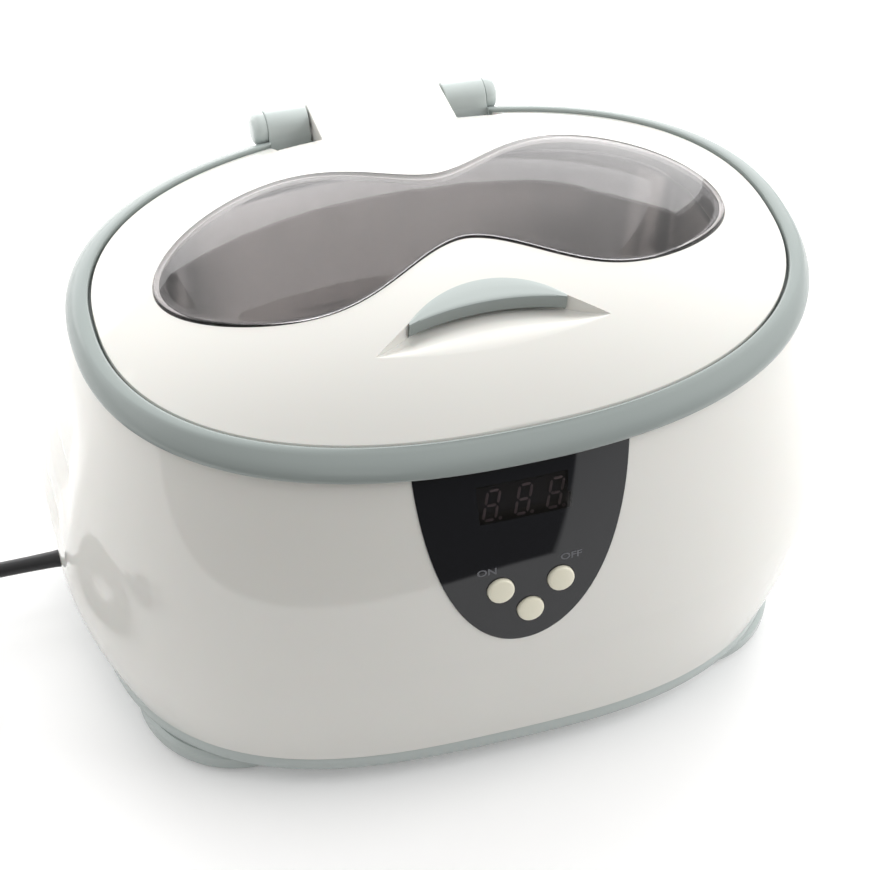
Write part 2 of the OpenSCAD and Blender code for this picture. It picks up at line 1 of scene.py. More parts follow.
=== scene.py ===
"""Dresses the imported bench-top bath cleaner for Blender: smooth shells, finishes, lead, studio."""
import logging
import math
from dataclasses import dataclass, field
from enum import Enum
from typing import Callable, Iterable, Sequence

import bpy
from mathutils import Matrix, Vector


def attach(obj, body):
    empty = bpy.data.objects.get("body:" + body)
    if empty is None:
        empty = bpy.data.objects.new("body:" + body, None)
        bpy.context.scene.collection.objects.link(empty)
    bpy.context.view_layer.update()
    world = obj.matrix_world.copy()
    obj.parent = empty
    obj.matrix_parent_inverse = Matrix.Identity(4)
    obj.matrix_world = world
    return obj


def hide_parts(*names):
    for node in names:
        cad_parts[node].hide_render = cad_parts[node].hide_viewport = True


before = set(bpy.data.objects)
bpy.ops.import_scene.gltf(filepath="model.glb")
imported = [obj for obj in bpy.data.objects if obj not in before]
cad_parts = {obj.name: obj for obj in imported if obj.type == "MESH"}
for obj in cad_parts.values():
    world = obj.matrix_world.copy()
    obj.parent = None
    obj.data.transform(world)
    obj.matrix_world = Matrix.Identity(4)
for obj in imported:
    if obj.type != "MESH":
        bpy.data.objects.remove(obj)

logging.basicConfig(level=logging.INFO, format="%(message)s")
LOG = logging.getLogger("bath_cleaner")

MM = 0.001
CABINET = "cabinet"
LID = "lid"
BUTTON_BODIES = {"button_on": "on_button", "button_set": "set_button", "button_off": "off_button"}
Point = tuple[float, float, float]
Flat = tuple[float, float]
Colour = tuple[float, float, float]
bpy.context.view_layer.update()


def to_linear(value: float) -> float:
    """Linear light of one screen channel, 0 to 255."""
    share = value / 255
    return share / 12.92 if share <= 0.04045 else ((share + 0.055) / 1.055) ** 2.4


def from_screen(red: float, green: float, blue: float) -> Colour:
    """Turns a colour read off a screen, 0 to 255, into linear light."""
    return to_linear(red), to_linear(green), to_linear(blue)


def arc(radius: float, degrees: Iterable[float], x: float = 0.0, y: float = 0.0) -> list[Flat]:
    """Points on a circle about (x, y), at angles in degrees."""
    return [(x + radius * math.cos(math.radians(k)), y + radius * math.sin(math.radians(k)))
            for k in degrees]


def with_poles(rows: Sequence[Sequence[Point]], first: Point, last: Point) -> list[Sequence[Point]]:
    """Closes a stack of rings with a pole before the first and behind the last."""
    count = len(rows[0])
    return [[first] * count, *rows, [last] * count]


def capped(rows: Sequence[Sequence[Point]]) -> list[Sequence[Point]]:
    """Closes a stack of rings with a pole in the middle of its first and of its last ring."""
    first, last = (tuple(sum((Vector(p) for p in row), Vector()) / len(row)) for row in (rows[0], rows[-1]))
    return with_poles(rows, first, last)


def turned(place: Point, degrees: float, axis: str = "Y") -> Matrix:
    """A frame at a place, turned about one axis."""
    return Matrix.Translation(place) @ Matrix.Rotation(math.radians(degrees), 4, axis)


# ---------------------------------------------------------------- finishes


class Slot(Enum):
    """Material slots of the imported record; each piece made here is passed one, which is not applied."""

    WHITE = "white_plastic"
    GREY = "grey_plastic"
    WINDOW = "smoked_window"
    PANEL = "smoked_panel"
    CREAM = "button_cream"
    FIGURES = "figure_bars"
    TANK = "tank_steel"
    STEEL = "pin_steel"
    CORD = "cord_black"


class Sheet:
    """A node tree with short calls for making and joining nodes."""

    def __init__(self, tree: bpy.types.NodeTree) -> None:
        """Keeps the tree that nodes are made in."""
        self.tree = tree

    @classmethod
    def material(cls, name: str) -> tuple[bpy.types.Material, "Sheet", bpy.types.Node]:
        """Makes a material with nodes.

        Args:
            name: The material's name.

        Returns:
            The material, its sheet and its Principled shader.
        """
        material = bpy.data.materials.new(name)
        material.use_nodes = True
        return material, cls(material.node_tree), material.node_tree.nodes["Principled BSDF"]

    @staticmethod
    def fill(node: bpy.types.Node, values: dict[str, object]) -> None:
        """Sets a node's inputs by their names."""
        for name, value in values.items():
            node.inputs[name].default_value = value

    def add(self, kind: str, **settings: object) -> bpy.types.Node:
        """Makes a node.

        Args:
            kind: Blender's name for the node type.
            settings: Attributes of the node, and values of its inputs by index as i0, i1 and so on.

        Returns:
            The new node.
        """
        node = self.tree.nodes.new(kind)
        for name, value in settings.items():
            if name[0] == "i" and name[1:].isdigit():
                node.inputs[int(name[1:])].default_value = value
            else:
                setattr(node, name, value)
        return node

    def join(self, source: bpy.types.NodeSocket, target: bpy.types.NodeSocket) -> None:
        """Links an output to an input."""
        self.tree.links.new(source, target)

    def feed(self, value: object, target: bpy.types.NodeSocket) -> None:
        """Gives an input a number, or links an output to it.

        Args:
            value: A number or an output.
            target: The input.
        """
        if isinstance(value, (int, float)):
            target.default_value = value
        else:
            self.join(value, target)

    def sum(self, operation: str, first: object, second: object) -> bpy.types.NodeSocket:
        """Makes a Math node.

        Args:
            operation: The operation's name.
            first: A number or an output.
            second: A number or an output.

        Returns:
            The node's output.
        """
        node = self.add("ShaderNodeMath", operation=operation)
        self.feed(first, node.inputs[0])
        self.feed(second, node.inputs[1])
        return node.outputs[0]

    def noise(self, place: bpy.types.NodeSocket, scale: float, detail: float = 2.0) -> bpy.types.NodeSocket:
        """Makes a Noise Texture.

        Args:
            place: The coordinates it reads.
            scale: Its scale.
            detail: Its detail.

        Returns:
            The node's value.
        """
        node = self.add("ShaderNodeTexNoise")
        self.fill(node, {"Scale": scale, "Detail": detail})
        self.join(place, node.inputs["Vector"])
        return node.outputs[0]

    def spread(self, value: bpy.types.NodeSocket, low: object, high: object,
               start: float = 0.3, end: float = 0.7) -> bpy.types.NodeSocket:
        """Maps a range of a value onto another range.

        Args:
            value: The value.
            low: What start becomes: a number or an output.
            high: What end becomes: a number or an output.
            start: Lower end of the value's range.
            end: Upper end of the value's range.

        Returns:
            The mapped value.
        """
        node = self.add("ShaderNodeMapRange", i1=start, i2=end)
        self.join(value, node.inputs[0])
        self.feed(low, node.inputs[3])
        self.feed(high, node.inputs[4])
        return node.outputs[0]

    def shade(self, colour: bpy.types.NodeSocket, tone: bpy.types.NodeSocket) -> bpy.types.NodeSocket:
        """Multiplies a colour by a value.

        Args:
            colour: The colour's output.
            tone: The value's output.

        Returns:
            The darkened colour.
        """
        node = self.add("ShaderNodeVectorMath", operation="SCALE")
        self.join(colour, node.inputs[0])
        self.join(tone, node.inputs["Scale"])
        return node.outputs[0]

    def choose(self, *sources: bpy.types.NodeSocket) -> bpy.types.NodeSocket:
        """Mixes two shaders.

        Args:
            sources: The factor, the shader at 0 and the shader at 1.

        Returns:
            The mixed shader.
        """
        node = self.add("ShaderNodeMixShader")
        for source, target in zip(sources, node.inputs):
            self.join(source, target)
        return node.outputs[0]


class EffectGroup:
    """A shader node group with named inputs and the outputs Colour, Gloss and Height."""

    made: dict[str, bpy.types.NodeTree] = {}

    @staticmethod
    def new(name: str, inputs: dict[str, object]) -> tuple[Sheet, bpy.types.Node, bpy.types.Node]:
        """Makes an empty group.

        Args:
            name: The group's name.
            inputs: Name and default of each input; a tuple makes a colour socket.

        Returns:
            The group's sheet, its input node and its output node.
        """
        tree = bpy.data.node_groups.new(name, "ShaderNodeTree")
        for title, default in inputs.items():
            kind = "NodeSocketColor" if isinstance(default, tuple) else "NodeSocketFloat"
            socket = tree.interface.new_socket(name=title, in_out="INPUT", socket_type=kind)
            socket.default_value = default
        tree.interface.new_socket(name="Colour", in_out="OUTPUT", socket_type="NodeSocketColor")
        tree.interface.new_socket(name="Gloss", in_out="OUTPUT", socket_type="NodeSocketFloat")
        tree.interface.new_socket(name="Height", in_out="OUTPUT", socket_type="NodeSocketFloat")
        sheet = Sheet(tree)
        return sheet, sheet.add("NodeGroupInput"), sheet.add("NodeGroupOutput")

    @classmethod
    def moulding(cls) -> bpy.types.NodeTree:
        """Moulded plastic: faint flow tone, uneven polish, settled dust and a fine ripple.

        Returns:
            The group, made on first use.
        """
        if "moulding" not in cls.made:
            sheet, take, give = cls.new("moulded_plastic", {
                "Base": (0.8, 0.8, 0.8, 1.0), "Polish": 0.15, "Tone": 0.03, "Unevenness": 0.05,
                "Dust": 0.1, "Grain": 1200.0})
            place = sheet.add("ShaderNodeTexCoord").outputs["Object"]
            darkest = sheet.sum("SUBTRACT", 1.0, take.outputs["Tone"])
            flow = sheet.spread(sheet.noise(place, 14.0, 3.0), darkest, 1.0)
            speck = sheet.add("ShaderNodeTexVoronoi", feature="F1")
            speck.inputs["Scale"].default_value = 320.0
            sheet.join(place, speck.inputs["Vector"])
            dots = sheet.spread(speck.outputs["Distance"], take.outputs["Dust"], 0.0, 0.02, 0.07)
            few = sheet.spread(sheet.noise(place, 60.0, 2.0), 0.0, 1.0, 0.52, 0.62)
            dust = sheet.sum("MULTIPLY", dots, few)
            tint = sheet.add("ShaderNodeMix", data_type="RGBA", i7=(0.55, 0.54, 0.52, 1.0))
            sheet.join(dust, tint.inputs[0])
            sheet.join(sheet.shade(take.outputs["Base"], flow), tint.inputs[6])
            sheet.join(tint.outputs[2], give.inputs["Colour"])
            wear = sheet.spread(sheet.noise(place, 45.0, 4.0), 0.0, take.outputs["Unevenness"])
            worn = sheet.sum("ADD", take.outputs["Polish"], wear)
            sheet.join(sheet.sum("ADD", worn, sheet.sum("MULTIPLY", dust, 0.5)), give.inputs["Gloss"])
            grain = sheet.add("ShaderNodeTexNoise", i3=1.0)
            sheet.join(place, grain.inputs["Vector"])
            sheet.join(take.outputs["Grain"], grain.inputs["Scale"])
            ripple = sheet.sum("MULTIPLY", sheet.noise(place, 90.0, 1.0), 1.5)
            sheet.join(sheet.sum("ADD", grain.outputs[0], ripple), give.inputs["Height"])
            cls.made["moulding"] = sheet.tree
        return cls.made["moulding"]

    @classmethod
    def drawing(cls) -> bpy.types.NodeTree:
        """Drawn or turned metal: fine lines along one way and a soft cloud in the polish.

        Returns:
            The group, made on first use.
        """
        if "drawing" not in cls.made:
            sheet, take, give = cls.new("drawn_metal", {
                "Base": (0.6, 0.6, 0.62, 1.0), "Polish": 0.2, "Lines": 0.1, "Across": 900.0, "Along": 25.0})
            place = sheet.add("ShaderNodeTexCoord").outputs["Object"]
            stretch = sheet.add("ShaderNodeCombineXYZ")
            for index, name in enumerate(("Across", "Across", "Along")):
                sheet.join(take.outputs[name], stretch.inputs[index])
            scaled = sheet.add("ShaderNodeVectorMath", operation="MULTIPLY")
            sheet.join(place, scaled.inputs[0])
            sheet.join(stretch.outputs[0], scaled.inputs[1])
            lines = sheet.noise(scaled.outputs[0], 1.0, 3.0)
            tone = sheet.spread(lines, 0.86, 1.0, 0.35, 0.65)
            sheet.join(sheet.shade(take.outputs["Base"], tone), give.inputs["Colour"])
            cloud = sheet.spread(sheet.noise(place, 30.0, 3.0), 0.0, take.outputs["Lines"])
            cloudy = sheet.sum("ADD", take.outputs["Polish"], cloud)
            lined = sheet.sum("MULTIPLY", lines, take.outputs["Lines"])
            sheet.join(sheet.sum("ADD", cloudy, lined), give.inputs["Gloss"])
            sheet.join(lines, give.inputs["Height"])
            cls.made["drawing"] = sheet.tree
        return cls.made["drawing"]


@dataclass(frozen=True)
class Finish:
    """A finish: one of the effect groups with its own numbers, under one Principled shader."""

    name: str
    colour: Colour
    polish: float = 0.2
    tone: float = 0.03
    unevenness: float = 0.06
    dust: float = 0.1
    grain: float = 1200.0
    bump: float = 0.02
    metal: bool = False
    coat: float = 0.0
    specular: float = 0.5
    subsurface: float = 0.0
    ior: float = 1.5

    def material(self) -> bpy.types.Material:
        """Returns the finish's material, made on first use."""
        made = bpy.data.materials.get(self.name)
        return made if made else self.build()

    def build(self) -> bpy.types.Material:
        """Makes the material.

        Returns:
            The new material.
        """
        material, sheet, shader = Sheet.material(self.name)
        sheet.fill(shader, {"Specular IOR Level": self.specular, "IOR": self.ior, "Coat Weight": self.coat,
                            "Coat Roughness": 0.03, "Subsurface Weight": self.subsurface,
                            "Subsurface Scale": 0.0015, "Metallic": float(self.metal)})
        group = sheet.add("ShaderNodeGroup")
        if self.metal:
            group.node_tree = EffectGroup.drawing()
            sheet.fill(group, {"Lines": self.unevenness, "Across": self.grain, "Along": self.grain * 0.03})
        else:
            group.node_tree = EffectGroup.moulding()
            sheet.fill(group, {"Tone": self.tone, "Unevenness": self.unevenness, "Dust": self.dust,
                               "Grain": self.grain})
        sheet.fill(group, {"Base": (*self.colour, 1.0), "Polish": self.polish})
        sheet.join(group.outputs["Colour"], shader.inputs["Base Color"])
        sheet.join(group.outputs["Gloss"], shader.inputs["Roughness"])
        bump = sheet.add("ShaderNodeBump")
        sheet.fill(bump, {"Strength": self.bump, "Distance": 0.0004})
        sheet.join(group.outputs["Height"], bump.inputs["Height"])
        sheet.join(bump.outputs[0], shader.inputs["Normal"])
        return material


@dataclass(frozen=True)
class ClearFinish:
    """Clear tinted acrylic that lets light through and throws only a tinted shadow."""

    name: str
    tint: Colour
    shadow: Colour
    polish: float = 0.02

    def material(self) -> bpy.types.Material:
        """Returns the finish's material, made on first use."""
        made = bpy.data.materials.get(self.name)
        return made if made else self.build()

    def build(self) -> bpy.types.Material:
        """Makes the material.

        Returns:
            The new material, with a Principled shader that shadow rays pass as a tint.
        """
        material, sheet, shader = Sheet.material(self.name)
        sheet.fill(shader, {"Transmission Weight": 1.0, "IOR": 1.49})
        group = sheet.add("ShaderNodeGroup")
        group.node_tree = EffectGroup.moulding()
        sheet.fill(group, {"Tone": 0.05, "Unevenness": 0.01, "Dust": 0.08, "Grain": 500.0,
                           "Polish": self.polish, "Base": (*self.tint, 1.0)})
        sheet.join(group.outputs["Colour"], shader.inputs["Base Color"])
        sheet.join(group.outputs["Gloss"], shader.inputs["Roughness"])
        light = sheet.add("ShaderNodeLightPath")
        through = sheet.add("ShaderNodeBsdfTransparent", i0=(*self.shadow, 1.0))
        surface = sheet.choose(light.outputs["Is Shadow Ray"], shader.outputs[0], through.outputs[0])
        sheet.join(surface, material.node_tree.nodes["Material Output"].inputs["Surface"])
        return material


WHITE_GLOSS = Finish("white_gloss", from_screen(228, 227, 222), polish=0.06, tone=0.015, unevenness=0.02,
                     dust=0.06, grain=700.0, bump=0.01, coat=0.25, subsurface=0.05)
GREY_SATIN = Finish("grey_satin", from_screen(149, 157, 155), polish=0.22, tone=0.015, unevenness=0.02,
                    dust=0.03, grain=1500.0, bump=0.02)
# Lit copy of the grey plastic in grey_satin: painted light that brightens the tray, the hinge caps, the
# knuckles and the grip's top.
GREY_PAINTED_LIT = Finish("grey_painted_lit", from_screen(184, 192, 190), polish=0.2, tone=0.015, unevenness=0.02,
                    dust=0.03, grain=1500.0, bump=0.02)
CREAM_CAPS = Finish("cream_caps", from_screen(240, 236, 216), polish=0.32, tone=0.04, unevenness=0.08,
                    dust=0.05, grain=1800.0, bump=0.03)
BLACK_SATIN = Finish("black_satin", (0.022, 0.022, 0.024), polish=0.4, tone=0.1, dust=0.0, grain=1400.0,
                     bump=0.05)
BAR_RED = Finish("unlit_bars", from_screen(132, 118, 120), polish=0.4, tone=0.06, dust=0.0, bump=0.02)
DISPLAY_BLACK = Finish("display_black", (0.018, 0.021, 0.030), polish=0.5, tone=0.05, dust=0.0, bump=0.0,
                       specular=0.2)
PANEL_BLACK = Finish("panel_black", (0.008, 0.009, 0.012), polish=0.03, tone=0.05, unevenness=0.01, dust=0.02,
                     grain=500.0, bump=0.0)
PRINT_GREY = Finish("printed_grey", from_screen(104, 105, 110), polish=0.5, tone=0.08, dust=0.0, bump=0.02)
LEAD_BLACK = Finish("lead_black", (0.020, 0.020, 0.022), polish=0.36, tone=0.12, unevenness=0.1, dust=0.1,
                    grain=1600.0, bump=0.08)
PAD_RUBBER = Finish("pad_rubber", (0.028, 0.028, 0.030), polish=0.62, tone=0.15, unevenness=0.12, dust=0.2,
                    grain=1000.0, bump=0.2)
DRAWN_STEEL = Finish("drawn_steel", (0.60, 0.585, 0.57), polish=0.12, unevenness=0.04, grain=500.0, bump=0.01,
                     metal=True)
TURNED_STEEL = Finish("turned_steel", (0.55, 0.56, 0.58), polish=0.22, unevenness=0.12, grain=1800.0,
                      bump=0.06, metal=True)
ALUMINIUM = Finish("turned_aluminium", (0.74, 0.75, 0.77), polish=0.28, unevenness=0.15, grain=1500.0,
                   bump=0.08, metal=True)
COPPER = Finish("rolled_copper", (0.72, 0.42, 0.25), polish=0.25, unevenness=0.12, grain=1200.0, bump=0.05,
                metal=True)
CERAMIC = Finish("fired_ceramic", (0.55, 0.48, 0.38), polish=0.55, tone=0.12, dust=0.0, bump=0.1)
BOARD_GREEN = Finish("circuit_green", (0.02, 0.12, 0.06), polish=0.25, tone=0.15, dust=0.1, bump=0.05)
WINDING_TAPE = Finish("winding_tape", (0.55, 0.38, 0.08), polish=0.4, tone=0.15, dust=0.1, grain=300.0,
                      bump=0.1)
CAN_SLEEVE = Finish("can_sleeve", (0.015, 0.02, 0.07), polish=0.2, tone=0.1, dust=0.1, bump=0.03)
SMOKED_WINDOW = ClearFinish("window_acrylic", (0.62, 0.605, 0.615), (0.80, 0.79, 0.795))
SMOKED_LENS = ClearFinish("lens_acrylic", (0.60, 0.58, 0.60), (0.50, 0.48, 0.50))


# ---------------------------------------------------------------- modelling helpers


class Shaper:
    """Blender's own modelling tools, with sizes in millimetres."""

    @staticmethod
    def only(piece: bpy.types.Object) -> None:
        """Selects one piece alone and makes it active.

        Args:
            piece: The piece to select.
        """
        bpy.ops.object.select_all(action="DESELECT")
        piece.select_set(True)
        bpy.context.view_layer.objects.active = piece

    @classmethod
    def edit(cls, piece: bpy.types.Object, *steps: Callable[[], object]) -> None:
        """Runs edit-mode steps on the whole of a piece.

        Args:
            piece: The piece to edit.
            steps: Calls that act on what is selected.
        """
        cls.only(piece)
        bpy.ops.object.mode_set(mode="EDIT")
        bpy.ops.mesh.select_all(action="SELECT")
        for step in steps:
            step()
        bpy.ops.object.mode_set(mode="OBJECT")

    @classmethod
    def weld(cls, piece: bpy.types.Object) -> None:
        """Merges doubles and turns all faces outwards."""
        cls.edit(piece, lambda: bpy.ops.mesh.remove_doubles(threshold=2e-7),
                 lambda: bpy.ops.mesh.normals_make_consistent(inside=False))

    @classmethod
    def loft(cls, name: str, rows: Sequence[Sequence[Point]], closed: bool = False) -> bpy.types.Object:
        """Lays a grid on rows of points; each row goes once round, and a row of equal points is a pole.

        Args:
            name: The piece's name.
            rows: Rings with the same number of points each.
            closed: Whether the last row joins the first.

        Returns:
            The welded piece.
        """
        laid = [*rows, rows[0]] if closed else list(rows)
        columns, levels = len(laid[0]), len(laid) - 1
        bpy.ops.object.select_all(action="DESELECT")
        bpy.ops.mesh.primitive_grid_add(x_subdivisions=columns, y_subdivisions=levels, size=1)
        piece = bpy.context.active_object
        piece.name = name
        for vertex in piece.data.vertices:
            column = round((vertex.co.x + 0.5) * columns) % columns
            level = round((vertex.co.y + 0.5) * levels)
            vertex.co = Vector(laid[level][column]) * MM
        cls.weld(piece)
        return piece

    @classmethod
    def slab(cls, name: str, outline: Sequence[Flat], depth: float, place: Matrix) -> bpy.types.Object:
        """Extrudes a flat outline.

        Args:
            name: The piece's name.
            outline: The outline's points in its own plane.
            depth: How far it is extruded along its own Z.
            place: Where its plane stands, with the shift in millimetres.

        Returns:
            The welded piece.
        """
        bpy.ops.object.select_all(action="DESELECT")
        bpy.ops.mesh.primitive_circle_add(vertices=len(outline), radius=1, fill_type="NGON")
        piece = bpy.context.active_object
        piece.name = name
        for vertex, (x, y) in zip(piece.data.vertices, outline):
            vertex.co = Vector((x, y, 0)) * MM
        cls.edit(piece, lambda: bpy.ops.mesh.extrude_region_move(
            TRANSFORM_OT_translate={"value": (0, 0, depth * MM)}))
        stand = place.copy()
        stand.translation = place.translation * MM
        piece.data.transform(stand)
        cls.weld(piece)
        return piece

    @classmethod
    def turn(cls, name: str, profile: Sequence[Flat], place: Matrix, steps: int = 64) -> bpy.types.Object:
        """Turns a profile of (radius, height) about its own Z.

        Args:
            name: The piece's name.
            profile: The profile's points.
            place: The frame whose Z it is turned about, in millimetres.
            steps: Points round it.

        Returns:
            The welded piece.
        """
        rows = [[tuple(place @ Vector((radius * math.cos(math.tau * i / steps),
                                       radius * math.sin(math.tau * i / steps), height)))
                 for i in range(steps)] for radius, height in profile]
        return cls.loft(name, rows)

    @classmethod
    def rod(cls, name: str, radius: float, length: float, place: Matrix, steps: int) -> bpy.types.Object:
        """Turns a plain rod that starts at a frame's origin.

        Args:
            name: The piece's name.
            radius: Its radius.
            length: Its length along the frame's Z.
            place: The frame.
            steps: Points round it.

        Returns:
            The rod.
        """
        return cls.turn(name, [(0, 0), (radius, 0), (radius, length), (0, length)], place, steps)

    @classmethod
    def modify(cls, piece: bpy.types.Object, kind: str, **settings: object) -> None:
        """Adds a modifier with settings and applies it.

        Args:
            piece: The piece.
            kind: Blender's name for the modifier type.
            settings: Attributes of the modifier.
        """
        cls.only(piece)
        modifier = piece.modifiers.new(kind.title(), kind)
        for name, value in settings.items():
            setattr(modifier, name, value)
        bpy.ops.object.modifier_apply(modifier=modifier.name)

    @classmethod
    def boolean(cls, piece: bpy.types.Object, tool: bpy.types.Object, how: str = "DIFFERENCE") -> None:
        """Cuts or fuses a piece with a tool, which is used up."""
        cls.modify(piece, "BOOLEAN", object=tool, operation=how, solver="EXACT")
        bpy.data.objects.remove(tool)

    @classmethod
    def round_off(cls, piece: bpy.types.Object, width: float, segments: int = 2, angle: float = 32.0) -> None:
        """Bevels the edges that turn by more than an angle."""
        cls.modify(piece, "BEVEL", width=width * MM, segments=segments, limit_method="ANGLE",
                   angle_limit=math.radians(angle), harden_normals=False, use_clamp_overlap=True)

    @classmethod
    def smooth(cls, piece: bpy.types.Object, angle: float = 35.0) -> None:
        """Shades smooth across edges flatter than an angle."""
        cls.only(piece)
        bpy.ops.object.shade_smooth_by_angle(angle=math.radians(angle))

    @classmethod
    def merge(cls, name: str, parts: Sequence[bpy.types.Object]) -> bpy.types.Object:
        """Joins parts into the first one and names it.

        Args:
            name: The joined piece's name.
            parts: The parts, each a mesh of its own.

        Returns:
            The joined piece.
        """
        cls.only(parts[0])
        for part in parts:
            part.select_set(True)
        bpy.ops.object.join()
        parts[0].name = name
        return parts[0]


class Workshop:
    """Adopts finished pieces: finish, body, and the CAD nodes that a piece stands for."""

    @staticmethod
    def dress(piece: bpy.types.Object, *finishes: object) -> None:
        """Puts finishes into a piece's material slots in order.

        Args:
            piece: The piece.
            finishes: Its finishes.
        """
        piece.data.materials.clear()
        for finish in finishes:
            piece.data.materials.append(finish.material())

    @classmethod
    def adopt(cls, piece: bpy.types.Object, body: str, slot: Slot, finishes: Iterable[object],
              nodes: Sequence[str] = ()) -> bpy.types.Object:
        """Finishes a piece and hands it to the frame.

        Args:
            piece: The piece.
            body: The body it rides on.
            slot: The record's slot; not used.
            finishes: Its finishes, in slot order.
            nodes: The CAD nodes it replaces.

        Returns:
            The piece.
        """
        cls.dress(piece, *finishes)
        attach(piece, body)
        if nodes:
            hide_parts(*nodes)
        LOG.info("%s: %d faces on %s%s", piece.name, len(getattr(piece.data, "polygons", ())), body,
                 f", for {', '.join(nodes)}" if nodes else "")
        return piece

    @classmethod
    def keep(cls, finish: Finish, *nodes: str) -> None:
        """Gives CAD nodes that stay a finish.

        Args:
            finish: The finish.
            nodes: Names of the CAD nodes.
        """
        for node in nodes:
            cls.dress(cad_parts[node], finish)
            LOG.info("%s: kept from the frame as %s", node, finish.name)


# ---------------------------------------------------------------- forms shared by the pieces


def oval_point(a: float, b: float, n: float, t: float) -> Flat:
    """Point of a superellipse.

    Args:
        a: Half axis along X.
        b: Half axis along Y.
        n: Exponent.
        t: Parameter angle in radians.

    Returns:
        The point.
    """
    cosine, sine = math.cos(t), math.sin(t)
    k = (abs(cosine) ** n + abs(sine) ** n) ** (-1 / n)
    return a * k * cosine, b * k * sine


def oval(a: float, b: float, n: float, z: float, count: int = 240) -> list[Point]:
    """Ring of a superellipse at a height."""
    return [(*oval_point(a, b, n, math.tau * i / count), z) for i in range(count)]


